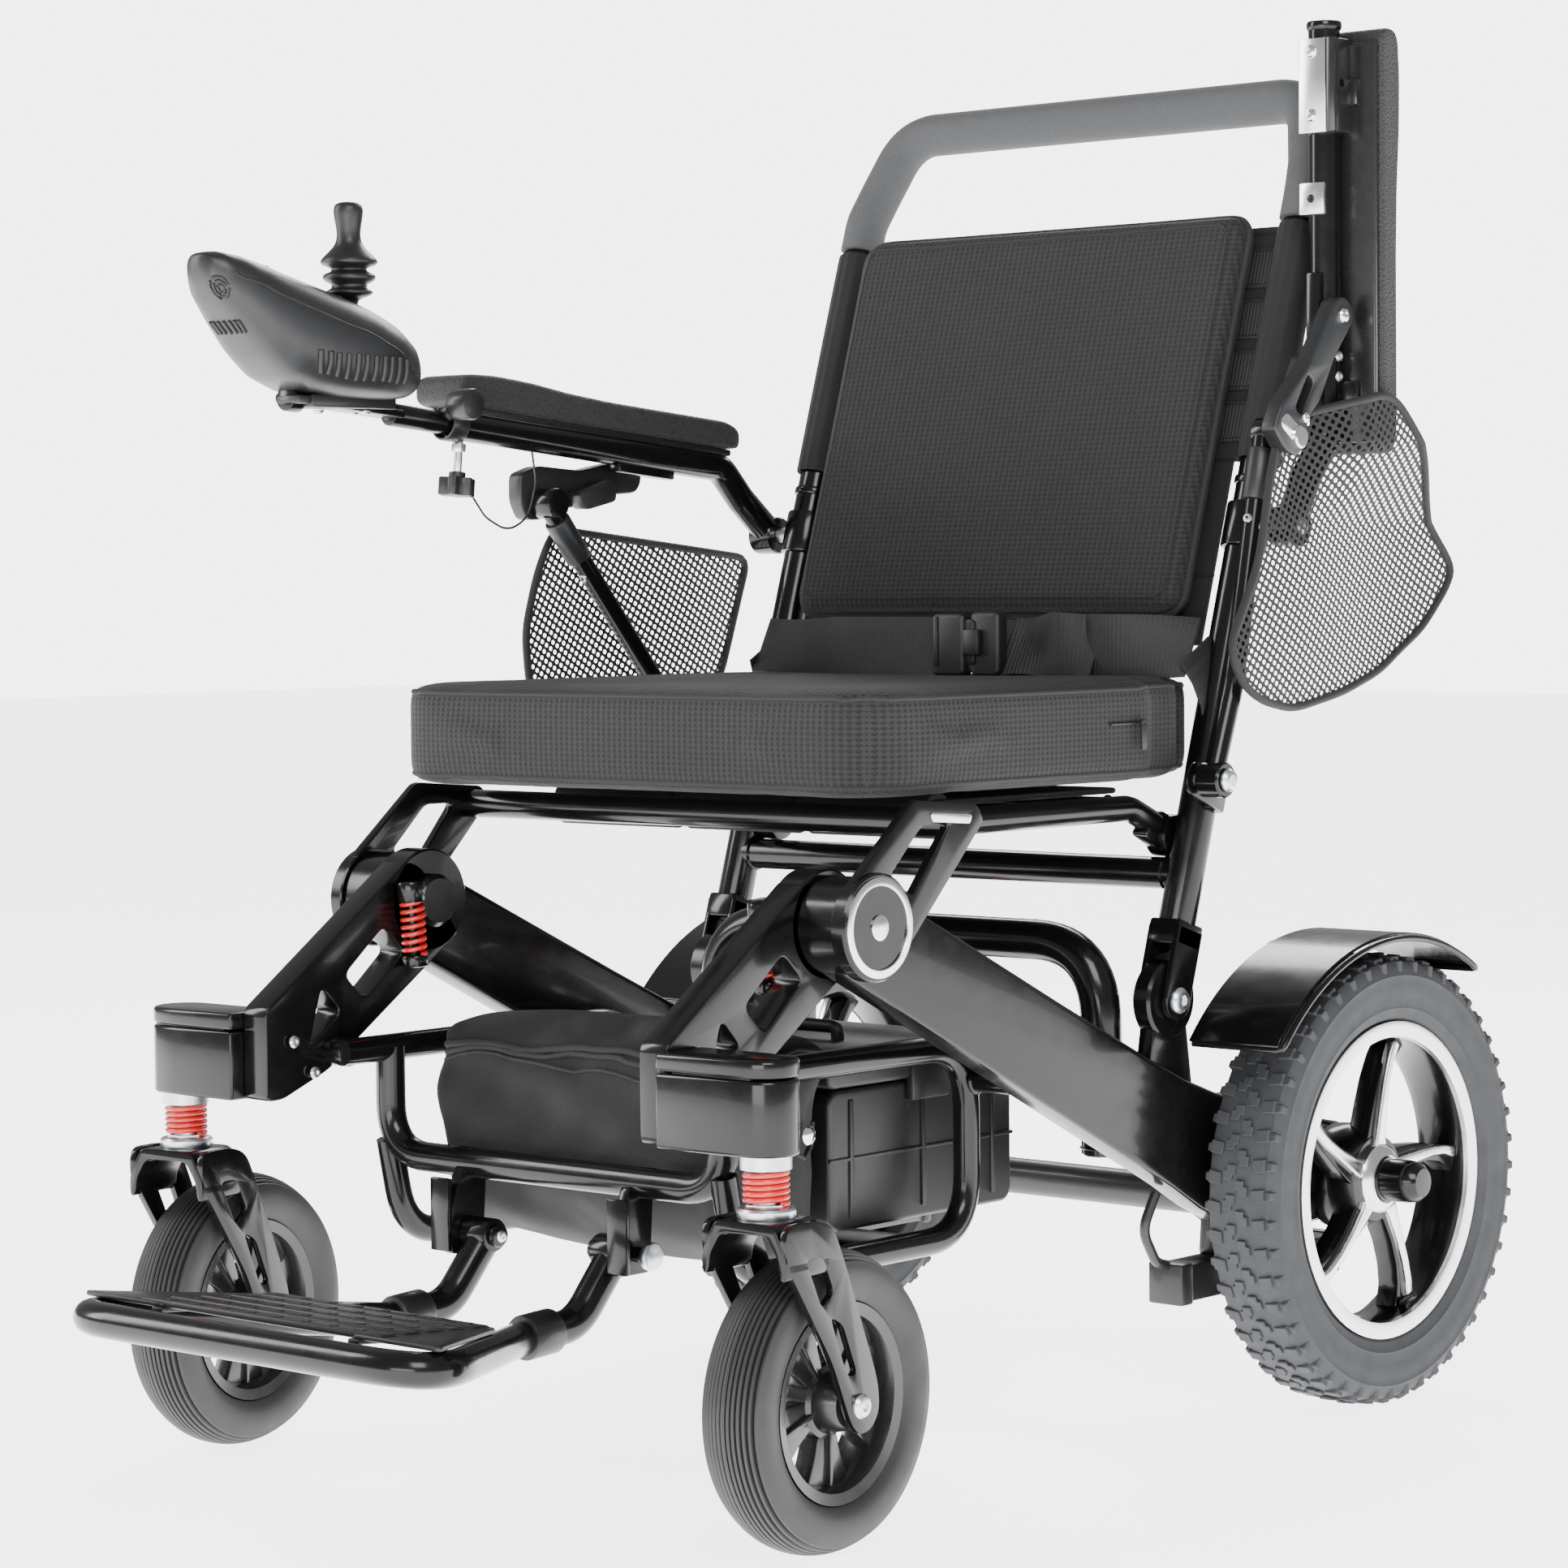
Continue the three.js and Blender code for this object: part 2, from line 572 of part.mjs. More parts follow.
function armrestTube(withSocket) {
  const { x, tubeW, end } = ARMREST;
  const arm = tube([[x, -8, 6], [x, -36, 24], [x, -62, tubeW], [x, -end, tubeW]], 11, 26, 12);
  const eye = pinX(227.5, 248.5, 0, 0, 14, 14);
  const bore = pinX(220, 256, 0, 0, 6.7, 12);
  const socket = alongY(x, tubeW, 284, end + 10, 8.7);
  const screwHole = pinZ(x, -KNOB_U, 20, 50, 3.6, 10);
  const whole = cut(join(arm, eye), bore);
  return withSocket ? cut(whole, socket, screwHole) : whole;
}

function armrestPad() {
  const outline = [[-48, 62], [-54, 57.4], [-337, 57.4], [-345, 62], [-345, 78], [-337, 83], [-275, 84],
    [-190, 80], [-64, 80], [-49, 76]];
  return plateX(outline, 227, 277);
}

// The bracket hangs from its own pin and reaches forward to the strut.
function armrestBracket() {
  const cheek = plateX([...arc(0, 0, 13, -90, 90, 6), [-50, 14], [-92, 26], [-112, 24], [-116, 6],
    [-112, -8], [-96, -12], [-84, -4], [-66, -10]], 251, 264);
  const block = plateX([[-30, -2], [-32, -12], [-64, -12], [-70, 2], [-36, 5]], 237, 252);
  const button = plateX(rounded(-106, -94, -2, 20, 5.5, 2), 263, 266);
  return join(cheek, block, button);
}

function armrestStrut() {
  const { x } = ARMREST;
  const rod = tube([[x, 0, 6], [x, 6, 70], [x, -4, STRUT_LENGTH - 4]], 7.5, 120, 8);
  const foot = pinX(230.6, 249, 0, 0, 12, 14);
  const head = pinX(230.6, 249, 0, STRUT_LENGTH, 11, 14);
  return cut(join(rod, foot, head), pinX(220, 254, 0, 0, 5.7, 12));
}

function meetingPoint(a, ra, b, rb) {
  const [dy, dz] = [b.y - a.y, b.z - a.z];
  const d = Math.hypot(dy, dz);
  const along = (d * d + ra * ra - rb * rb) / (2 * d);
  const off = Math.sqrt(ra * ra - along * along);
  return { y: a.y + (dy * along - dz * off) / d, z: a.z + (dz * along + dy * off) / d };
}

function armrestPlaces(pitch) {
  const t = rad(pitch);
  const pin = {
    y: ARMREST.y - BRACKET_PIN.u * Math.cos(t) + BRACKET_PIN.w * Math.sin(t),
    z: ARMREST.z + BRACKET_PIN.u * Math.sin(t) + BRACKET_PIN.w * Math.cos(t),
  };
  const knee = meetingPoint(STRUT_PIN, STRUT_LENGTH, pin, BRACKET_LENGTH);
  const bracketPitch = (Math.atan2(knee.z - pin.z, pin.y - knee.y) * 180) / Math.PI;
  const strutPitch = (Math.atan2(knee.z - STRUT_PIN.z, STRUT_PIN.y - knee.y) * 180) / Math.PI;
  return { pin, bracketPitch, strutPitch };
}

// The mesh guard, laced to the strut: flat when the armrest is down, slack behind it when it is up.
function guardDown() {
  return [[-78, 600], [-290, 622], [-308, 590], [-322, 548], [-318, 508], [-300, 474], [-160, 462],
    [-112, 510]];
}

function guardUp() {
  return [[-104, 640], [-80, 656], [-20, 660], [46, 640], [108, 589], [102, 574], [74, 545], [18, 516],
    [-33, 502], [-93, 492], [-132, 499], [-154, 512], [-164, 536], [-137, 590], [-124, 630]];
}

function buildArmrest(side, s, pitch, guard) {
  const { pin, bracketPitch, strutPitch } = armrestPlaces(pitch);
  const rest = frameAt(ARMREST.y, ARMREST.z, pitch);
  add(`armrest_tube_${side}`, flip(armrestTube(s < 0), s), GLOSS_BLACK, rest);
  add(`armrest_pad_${side}`, flip(armrestPad(), s), FOAM_GREY, rest);
  const bracket = frameAt(pin.y, pin.z, bracketPitch);
  add(`armrest_bracket_${side}`, flip(armrestBracket(), s), PLASTIC_GREY, bracket);
  const strut = frameAt(STRUT_PIN.y, STRUT_PIN.z, strutPitch - 90);
  add(`armrest_strut_${side}`, flip(armrestStrut(), s), GLOSS_BLACK, strut);
  add(`side_guard_${side}`, flip(plateX(guard, 254.5, 256.5), s), MESH_BLACK);
}

// ---------------------------------------------------------------- controller on the right armrest
const STICK = { x: -235, y: -508, z: 752 };

function controllerArm() {
  const { x, tubeW } = ARMREST;
  const rod = alongY(-x, tubeW, 288, 404, 8.2);
  const bar = box(-x - 11, -x + 11, -500, -398, tubeW - 3, tubeW + 3);
  return join(rod, bar);
}

function controllerHousing() {
  const side = [[-645, 796], [-640, 804], [-622, 803], [-560, 786], [-500, 770], [-468, 752], [-456, 734],
    [-460, 716], [-484, 707.5], [-566, 713.5], [-590, 722], [-632, 774]];
  const plan = [...arc(-235, -614, 28, 180, 360, 10), ...arc(-235, -495, 38, 0, 180, 10)];
  const body = plateX(side, -285, -185).intersect(plateZ(plan, 690, 820));
  const well = pinZ(STICK.x, STICK.y, STICK.z - 16, 830, 17.8, 16);
  const buttonHole = pinZ(-235, -590, 784, 830, 7.6, 12);
  return cut(body, well, buttonHole);
}

function joystickGimbal() {
  const { x, y, z } = STICK;
  const cross = turned(ring(6, 10, z - 3, z + 3), 'z', [x, y, 0], 12);
  return join(cross, pinX(x - 16.5, x - 8, y, z, 2, 8), pinX(x + 8, x + 16.5, y, z, 2, 8));
}

function joystick() {
  const { x, y, z } = STICK;
  const profile = [[0, z - 6], [4, z - 6], [4, z + 26], [11, z + 27], [18, z + 31], [12, z + 34],
    [12, z + 37],
    [19, z + 41], [12, z + 44], [12, z + 47], [20, z + 51], [9, z + 62], [8, z + 68], [10.5, z + 82],
    [10, z + 90], [0, z + 92]];
  return turned(profile, 'z', [x, y, 0], 14);
}

function clampKnob() {
  const { x, tubeW } = ARMREST;
  const screw = pinZ(-x, -KNOB_U, 8, tubeW - 9.2, 3, 8);
  const head = plateZ(Array.from({ length: 12 }, (_, i) => {
    const [t, r] = [rad(30 * i), i % 2 ? 13.5 : 10.5];
    return [-x + r * Math.cos(t), -KNOB_U + r * Math.sin(t)];
  }), -4, 10);
  return join(screw, head);
}

function buildController() {
  const rest = frameAt(ARMREST.y, ARMREST.z, ARMREST.down);
  add('controller_arm', controllerArm(), GLOSS_BLACK, rest);
  add('clamp_knob', clampKnob(), MATTE_BLACK, rest);
  add('controller_housing', controllerHousing(), PLASTIC_GREY);
  add('joystick_gimbal', joystickGimbal(), ZINC);
  add('joystick', joystick(), MATTE_BLACK);
  add('power_button', pinZ(-235, -590, 786.5, 797, 7), MATTE_BLACK);
}

// ---------------------------------------------------------------- footrest
function footrestFrame() {
  const { x, y, z } = FOOT_PIN;
  const corners = mirrored([[x, y, z - 4], [x, y - 34, 117], [x, -652, 114.5], [172, -832, 132]]);
  const eyes = SIDES.map(([, s]) => flip(pinX(47, 70.6, y, z, 11, 10), s));
  const pins = SIDES.map(([, s]) => flip(pinX(50, 87, y, z, 5, 8), s));
  const collars = SIDES.map(([, s]) => flip(tube([[x, -624, 115.9], [x, -646, 114.8]], 14.5), s));
  return join(tube(corners, 11, 26, 8, 3), ...eyes, ...pins, ...collars);
}

function footplate() {
  const slats = Array.from({ length: 5 }, (_, i) => box(-96, 96, -77 - 22 * i, -63 - 22 * i, 11.3, 16));
  const wing = plateZ([[98, -59], [84, -59], [84, -167], [160, -167]], 11.3, 14.5);
  const ends = SIDES.map(([, s]) => flip(wing, s));
  return join(...slats, ...ends);
}

function buildFootrest() {
  add('footrest_frame', footrestFrame(), GLOSS_BLACK);
  const plate = frameAt(-652, 114.5, FOOT_PITCH);
  add('footplate', footplate(), MATTE_BLACK, plate);
}

buildChassis();
buildFront();
buildSeat();
buildArmrest('left', 1, ARMREST.up, guardUp());
buildArmrest('right', -1, ARMREST.down, guardDown());
buildController();
buildFootrest();

export default chair;
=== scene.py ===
"""Folding power wheelchair: the finished look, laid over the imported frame."""

import math

import bpy
from mathutils import Matrix, Vector


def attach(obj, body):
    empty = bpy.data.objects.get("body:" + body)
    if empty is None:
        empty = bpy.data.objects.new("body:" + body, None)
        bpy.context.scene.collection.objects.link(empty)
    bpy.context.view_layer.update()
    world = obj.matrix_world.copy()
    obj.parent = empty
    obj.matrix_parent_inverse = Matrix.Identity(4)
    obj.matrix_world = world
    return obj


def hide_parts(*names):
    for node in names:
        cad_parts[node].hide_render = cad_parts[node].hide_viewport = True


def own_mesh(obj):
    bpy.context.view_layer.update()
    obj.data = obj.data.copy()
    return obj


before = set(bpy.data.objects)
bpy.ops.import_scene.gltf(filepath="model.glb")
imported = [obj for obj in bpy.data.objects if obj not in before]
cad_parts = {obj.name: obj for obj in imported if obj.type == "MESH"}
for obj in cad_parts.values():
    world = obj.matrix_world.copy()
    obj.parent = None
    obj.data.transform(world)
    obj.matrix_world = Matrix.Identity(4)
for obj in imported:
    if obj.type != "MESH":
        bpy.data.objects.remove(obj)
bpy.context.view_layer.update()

# ------------------------------------------------------------------ measures
# Lengths are in millimetres from the rear axle's line; +Y is rearward and z = 0 is the floor.
AXLE_Y = 341.9
AXLE_Z = 159.0
HINGE = (-505.0, 369.0)
POST_FOOT = (-172.0, 296.0)
BACK_LEAN = 17.5
ARM_PIVOT = (-72.0, 617.0)
ARM_PITCH = {"l": 90.0, "r": 5.4}
STRUT_FOOT = (-162.0, 446.0)
STRUT_LENGTH = 243.5
BRACKET_REACH = 98.0
CASTER_X, CASTER_Y, CASTER_TRAIL, CASTER_R = 259.0, -645.0, 48.5, 92.5
CASTER_TURN = {"l": 3.3, "r": 8.7}
SIDES = (("l", "left", 1), ("r", "right", -1))
TO_METRES = Matrix.Scale(0.001, 4)
ARMREST_X = 238
POST_X = 203
WHEEL_X = 251
TRAY_X = 150
STICK = (-235, -508)
BUTTON = (-235, -590)

# The camera stands VIEW_PLACE from the axle's line; azimuth, pitch and roll are in degrees.
VIEW_PLACE = (1905.77, -2504.01, 587.36)
VIEW_AZIMUTH, VIEW_PITCH, VIEW_ROLL = 41.24, 2.83, -0.54
VIEW_LENS, VIEW_SENSOR = 97.35, 36
SOFT_LIGHT = 0.42
BACKDROP_GLOW = 5.0
FLOOR_GLOW = 3.7


def at(x, y, z):
    return Vector((x, y + AXLE_Y, z)) * 0.001


def chair_frame(y=0.0, z=0.0, front_up=0.0, x=0.0, turn=0.0):
    lean = Matrix.Rotation(-math.radians(front_up), 4, "X")
    return Matrix.Translation(at(x, y, z)) @ Matrix.Rotation(math.radians(turn), 4, "Z") @ lean


CHAIR = chair_frame()
BACK = chair_frame(*POST_FOOT, BACK_LEAN)


def armrest_frames(side):
    pitch = math.radians(ARM_PITCH[side])
    pin_y = ARM_PIVOT[0] - 145 * math.cos(pitch) + 30 * math.sin(pitch)
    pin_z = ARM_PIVOT[1] + 145 * math.sin(pitch) + 30 * math.cos(pitch)
    dy, dz = pin_y - STRUT_FOOT[0], pin_z - STRUT_FOOT[1]
    span = math.hypot(dy, dz)
    along = (span**2 + STRUT_LENGTH**2 - BRACKET_REACH**2) / (2 * span)
    off = math.sqrt(STRUT_LENGTH**2 - along**2)
    knee_y = STRUT_FOOT[0] + (dy * along - dz * off) / span
    knee_z = STRUT_FOOT[1] + (dz * along + dy * off) / span
    bracket = math.degrees(math.atan2(knee_z - pin_z, pin_y - knee_y))
    strut = math.degrees(math.atan2(knee_z - STRUT_FOOT[1], STRUT_FOOT[0] - knee_y)) - 90
    return {
        "rest": chair_frame(*ARM_PIVOT, ARM_PITCH[side]),
        "bracket": chair_frame(pin_y, pin_z, bracket),
        "strut": chair_frame(*STRUT_FOOT, strut),
    }


ARM = {side: armrest_frames(side) for side in "lr"}
STEM = {letter: chair_frame(CASTER_Y, 0, 0, sign * CASTER_X) for letter, _, sign in SIDES}
FORK = {
    letter: chair_frame(CASTER_Y, 0, 0, sign * CASTER_X, CASTER_TURN[letter]) for letter, _, sign in SIDES
}
FOOTPLATE = chair_frame(-652, 114.5, 5.55)


# ------------------------------------------------------------------ camera and light
def set_camera():
    azimuth, pitch, roll = [math.radians(a) for a in (VIEW_AZIMUTH, VIEW_PITCH, VIEW_ROLL)]
    level = math.cos(pitch)
    ahead = Vector((-math.sin(azimuth) * level, math.cos(azimuth) * level, -math.sin(pitch)))
    right = Vector((math.cos(azimuth), math.sin(azimuth), 0))
    up = right.cross(ahead)
    across = right * math.cos(roll) + up * math.sin(roll)
    upright = up * math.cos(roll) - right * math.sin(roll)
    data = bpy.data.cameras.new("studio_camera")
    data.lens, data.sensor_width = VIEW_LENS, VIEW_SENSOR
    data.clip_end = 50
    camera = bpy.data.objects.new("studio_camera", data)
    bpy.context.collection.objects.link(camera)
    turn = Matrix((across, upright, -ahead)).transposed().to_4x4()
    camera.matrix_world = Matrix.Translation(at(*VIEW_PLACE)) @ turn
    bpy.context.scene.camera = camera


def set_light(name, place, target, size, power):
    data = bpy.data.lights.new(name, "AREA")
    data.shape, data.size, data.size_y = "RECTANGLE", size[0], size[1]
    data.energy = power
    lamp = bpy.data.objects.new(name, data)
    bpy.context.collection.objects.link(lamp)
    lamp.location = place
    lamp.rotation_euler = (Vector(target) - Vector(place)).to_track_quat("-Z", "Y").to_euler()


def set_studio():
    """A white room that lights the chair less than it shows behind it, and four soft lamps."""
    world = bpy.data.worlds.new("studio")
    bpy.context.scene.world = world
    world.use_nodes = True
    sky = world.node_tree.nodes["Background"]
    backdrop = world.node_tree.nodes.new("ShaderNodeBackground")
    for background, strength in ((sky, SOFT_LIGHT), (backdrop, BACKDROP_GLOW)):
        background.inputs["Color"].default_value = (1, 1, 1, 1)
        background.inputs["Strength"].default_value = strength
    rays = world.node_tree.nodes.new("ShaderNodeLightPath")
    either = world.node_tree.nodes.new("ShaderNodeMixShader")
    links = world.node_tree.links
    links.new(rays.outputs["Is Camera Ray"], either.inputs[0])
    links.new(sky.outputs[0], either.inputs[1])
    links.new(backdrop.outputs[0], either.inputs[2])
    links.new(either.outputs[0], world.node_tree.nodes["World Output"].inputs[0])
    set_light("key_light", (2.4, -2.0, 2.6), (0, 0, 0.5), (1.8, 1.8), 95)
    set_light("left_light", (-2.6, -1.8, 1.8), (0, -0.1, 0.5), (0.8, 2.2), 60)
    set_light("back_light", (-1.2, 2.4, 2.4), (0, 0, 0.6), (2.2, 1.0), 75)
    set_light("low_light", (1.0, -2.8, 0.5), (0, -0.2, 0.3), (2.0, 0.5), 26)


set_camera()
set_studio()


# ------------------------------------------------------------------ shading
class Wire:
    """A socket that can be added, multiplied and so on in plain expressions."""

    def __init__(self, look, socket):
        self.look, self.socket = look, socket

    def maths(self, operation, *values):
        node = self.look.node("ShaderNodeMath", {"operation": operation}, dict(enumerate(values)))
        return Wire(self.look, node.outputs[0])

    def __add__(self, other):
        return self.maths("ADD", self, other)

    def __sub__(self, other):
        return self.maths("SUBTRACT", self, other)

    def __mul__(self, other):
        return self.maths("MULTIPLY", self, other)

    def __pow__(self, other):
        return self.maths("POWER", self, other)

    def __rsub__(self, other):
        return self.maths("SUBTRACT", other, self)

    __radd__ = __add__
    __rmul__ = __mul__

    def sine(self):
        return self.maths("SINE", self)

    def size(self):
        return self.maths("ABSOLUTE", self)

    def between(self, low, high):
        """0 at low, 1 at high, smooth between."""
        node = self.look.node("ShaderNodeMapRange", {"interpolation_type": "SMOOTHSTEP"},
                              {"Value": self, "From Min": low, "From Max": high})
        return Wire(self.look, node.outputs[0])


SOCKET_NAMES = {
    "coat_weight": "Coat Weight", "coat_roughness": "Coat Roughness", "sheen_weight": "Sheen Weight",
    "emission_strength": "Emission Strength", "specular_ior_level": "Specular IOR Level",
}


class Look:
    """One finish: constants on the shader's own sockets, and nodes for what changes over the surface."""

    def __init__(self, name, colour, roughness, metallic=0.0, **steady):
        self.material = bpy.data.materials.new(name)
        self.material.use_nodes = True
        self.tree = self.material.node_tree
        self.shader = self.tree.nodes["Principled BSDF"]
        self.colour = (*colour, 1.0)
        self.shader.inputs["Base Color"].default_value = self.colour
        self.shader.inputs["Roughness"].default_value = roughness
        self.shader.inputs["Metallic"].default_value = metallic
        for socket, value in steady.items():
            self.shader.inputs[SOCKET_NAMES[socket]].default_value = value
        self.material.diffuse_color = self.colour

    def node(self, kind, settings=None, sockets=None):
        made = self.tree.nodes.new(kind)
        for name, value in (settings or {}).items():
            setattr(made, name, value)
        for name, value in (sockets or {}).items():
            if isinstance(value, Wire):
                self.tree.links.new(value.socket, made.inputs[name])
            else:
                made.inputs[name].default_value = value
        return made

    def place(self):
        """Where a point is on the whole chair, in metres."""
        return self.mapped("Object")

    def laid(self, turn=0.0):
        """Where a point is on the cloth's flat pattern, in metres, turned by some degrees."""
        return self.mapped("UV", turn)

    def mapped(self, source, turn=0.0):
        place = Wire(self, self.node("ShaderNodeTexCoord").outputs[source])
        node = self.node("ShaderNodeMapping", {}, {"Vector": place, "Rotation": (0, 0, math.radians(turn))})
        return Wire(self, node.outputs[0])

    def parts(self, vector):
        node = self.node("ShaderNodeSeparateXYZ", {}, {"Vector": vector})
        return [Wire(self, node.outputs[i]) for i in range(3)]

    def noise(self, scale, detail):
        node = self.node("ShaderNodeTexNoise", {}, {"Vector": self.place(), "Scale": scale, "Detail": detail})
        return Wire(self, node.outputs[0])

    def cells(self, scale):
        node = self.node("ShaderNodeTexVoronoi", {}, {"Vector": self.place(), "Scale": scale})
        return Wire(self, node.outputs[0])

    def blend(self, share, low, high):
        """The colour low where share is 0 and high where it is 1."""
        node = self.node("ShaderNodeMix", {"data_type": "RGBA"}, {0: share, 6: (*low, 1), 7: (*high, 1)})
        return Wire(self, node.outputs[2])

    def feed(self, socket, wire):
        self.tree.links.new(wire.socket, self.shader.inputs[socket])
        return self

    def raised(self, height, depth, strength=1.0):
        node = self.node("ShaderNodeBump", {}, {"Height": height, "Distance": depth, "Strength": strength})
        self.tree.links.new(node.outputs[0], self.shader.inputs["Normal"])
        return self


def tinted(look, scale, low, high):
    """A colour that wanders between two."""
    return look.feed("Base Color", look.blend(look.noise(scale, 4), low, high))


def worn(look, scale, low, high):
    """A roughness that wanders between two."""
    return look.feed("Roughness", look.noise(scale, 4) * (high - low) + low)


def gloss_paint():
    look = Look("gloss_black_paint", (0.003, 0.003, 0.0035), 0.2, coat_weight=0.14, coat_roughness=0.05,
                specular_ior_level=0.32)
    tinted(look, 18, (0.002, 0.002, 0.0022), (0.0045, 0.0045, 0.0049))
    worn(look, 60, 0.1, 0.3)
    return look.raised(look.noise(650, 2), 0.00006, 0.35).material


def satin_paint():
    look = Look("satin_black_paint", (0.012, 0.012, 0.013), 0.42, coat_weight=0.15)
    tinted(look, 40, (0.004, 0.004, 0.0045), (0.009, 0.009, 0.0095))
    worn(look, 120, 0.34, 0.52)
    return look.raised(look.noise(1800, 2), 0.0001, 0.4).material


def moulded_plastic():
    look = Look("moulded_black_plastic", (0.014, 0.014, 0.015), 0.4)
    tinted(look, 30, (0.006, 0.006, 0.0065), (0.011, 0.011, 0.0115))
    worn(look, 300, 0.32, 0.5)
    return look.raised(look.noise(2600, 2), 0.00012, 0.5).material


def gloss_plastic():
    look = Look("polished_black_plastic", (0.01, 0.01, 0.011), 0.22, coat_weight=0.3, coat_roughness=0.15)
    worn(look, 90, 0.18, 0.34)
    return look.raised(look.noise(1500, 2), 0.00005, 0.3).material


def grey_plastic():
    look = Look("moulded_grey_plastic", (0.02, 0.021, 0.023), 0.38)
    tinted(look, 25, (0.009, 0.0095, 0.0105), (0.014, 0.0148, 0.016))
    worn(look, 200, 0.3, 0.46)
    return look.raised(look.noise(2200, 2), 0.00012, 0.45).material


def tyre_rubber():
    look = Look("tyre_rubber", (0.05, 0.052, 0.057), 0.72)
    tinted(look, 55, (0.024, 0.025, 0.028), (0.044, 0.046, 0.05))
    worn(look, 80, 0.6, 0.85)
    return look.raised(look.noise(900, 4) + look.noise(3000, 2) * 0.4, 0.0002, 0.6).material


def caster_rubber():
    look = Look("caster_rubber", (0.03, 0.031, 0.034), 0.5)
    tinted(look, 35, (0.01, 0.0105, 0.0115), (0.019, 0.0195, 0.021))
    worn(look, 60, 0.42, 0.62)
    return look.raised(look.noise(1400, 3), 0.00012, 0.4).material


def machined_alloy():
    look = Look("machined_alloy", (0.82, 0.83, 0.85), 0.22, 1.0)
    _, y, z = look.parts(look.place())
    reach = ((y - AXLE_Y * 0.001) ** 2 + (z - AXLE_Z * 0.001) ** 2) ** 0.5
    turning = (reach * 9000).sine()
    look.feed("Roughness", turning * 0.04 + look.noise(40, 4) * 0.12 + 0.16)
    tinted(look, 30, (0.74, 0.75, 0.77), (0.9, 0.91, 0.92))
    return look.raised(turning, 0.00002, 0.35).material


def zinc_plate():
    look = Look("zinc_plate", (0.72, 0.75, 0.79), 0.28, 1.0)
    tinted(look, 140, (0.6, 0.64, 0.68), (0.82, 0.84, 0.86))
    worn(look, 220, 0.2, 0.42)
    return look.raised(look.noise(1600, 2), 0.00004, 0.3).material


def bright_chrome():
    look = Look("bright_chrome", (0.88, 0.89, 0.9), 0.08, 1.0)
    worn(look, 120, 0.06, 0.2)
    return look.raised(look.noise(900, 2), 0.00002, 0.2).material


def red_paint():
    look = Look("red_coated_wire", (0.62, 0.016, 0.012), 0.3, coat_weight=0.6, coat_roughness=0.12)
    tinted(look, 160, (0.5, 0.012, 0.01), (0.72, 0.022, 0.016))
    return worn(look, 300, 0.24, 0.42).material


def grip_foam():
    look = Look("grip_foam", (0.055, 0.056, 0.058), 0.9, sheen_weight=0.04)
    pores = look.cells(900) * 0.6 + look.noise(1700, 3) * 0.6
    # The foam's pits, which the bump sinks, are painted darker than its raised cells: painted shade in the
    # pores.
    look.feed("Base Color", look.blend(pores, (0.045, 0.046, 0.048), (0.085, 0.087, 0.09)))
    worn(look, 90, 0.82, 0.95)
    return look.raised(pores, 0.0004, 0.5).material


def pad_skin():
    look = Look("textured_pad_skin", (0.018, 0.018, 0.02), 0.62, sheen_weight=0.08)
    pebbles = look.cells(620)
    # The gaps between the pebbles, which the bump sinks, are painted darker than the pebbles: painted shade
    # in the gaps.
    look.feed("Base Color", look.blend(pebbles, (0.016, 0.016, 0.017), (0.005, 0.005, 0.0055)))
    worn(look, 70, 0.55, 0.75)
    return look.raised(1 - pebbles, 0.0008, 0.7).material


def woven(name, thread, low, high, shine):
    look = Look(name, high, shine, sheen_weight=0.04)
    u, v, _ = look.parts(look.laid())
    across, along = (u * (math.tau / thread)).sine(), (v * (math.tau / thread)).sine()
    weave = (across * along) * 0.5 + 0.5
    cloudy = look.noise(22, 5)
    # Where the weave sinks between the threads it is painted darker: painted shade in the thread gaps, mixed
    # with a cloudy tone that wanders at random.
    look.feed("Base Color", look.blend(weave * 0.6 + cloudy * 0.4, low, high))
    look.feed("Roughness", cloudy * 0.15 + shine - 0.05)
    return look.raised(weave + cloudy * 0.8, thread * 0.35, 0.55).material


def nylon_cloth():
    return woven("nylon_cloth", 0.0013, (0.0012, 0.0012, 0.0013), (0.004, 0.004, 0.0043), 0.74)


def webbing():
    look = Look("ribbed_webbing", (0.02, 0.02, 0.021), 0.6, sheen_weight=0.04)
    u, v, _ = look.parts(look.laid())
    ribs = (v * (math.tau / 0.0022)).sine()
    ticks = (u * (math.tau / 0.0028) + ribs * 1.2).sine()
    yarn = ribs * ticks * 0.5 + 0.5
    # The furrows between the ribs, which the bump sinks, are painted darker than the yarn on top: painted
    # shade in the furrows.
    look.feed("Base Color", look.blend(yarn, (0.0022, 0.0022, 0.0025), (0.009, 0.009, 0.0096)))
    look.feed("Roughness", yarn * 0.2 + 0.48)
    return look.raised(yarn, 0.0006, 0.6).material


def binding_tape():
    return woven("binding_tape", 0.0018, (0.0035, 0.0035, 0.004), (0.012, 0.012, 0.013), 0.7)


def air_mesh():
    look = Look("air_mesh", (0.03, 0.03, 0.032), 0.8, sheen_weight=0.04)
    u, v, _ = look.parts(look.laid())
    step = math.tau / 0.0096
    wave = (u * step + v * (step * 1.35)).sine() * (u * step - v * (step * 1.35)).sine()
    knit = wave.between(-0.5, 0.1)
    shade = look.noise(14, 4)
    # The knit's holes, which the bump sinks, are painted near black: painted shade inside the holes.
    look.feed("Base Color", look.blend(knit, (0.0003, 0.0003, 0.0004), (0.0095, 0.0095, 0.0102)))
    look.feed("Roughness", shade * 0.12 + 0.74)
    return look.raised(knit + look.noise(1800, 2) * 0.25, 0.0011, 0.8).material


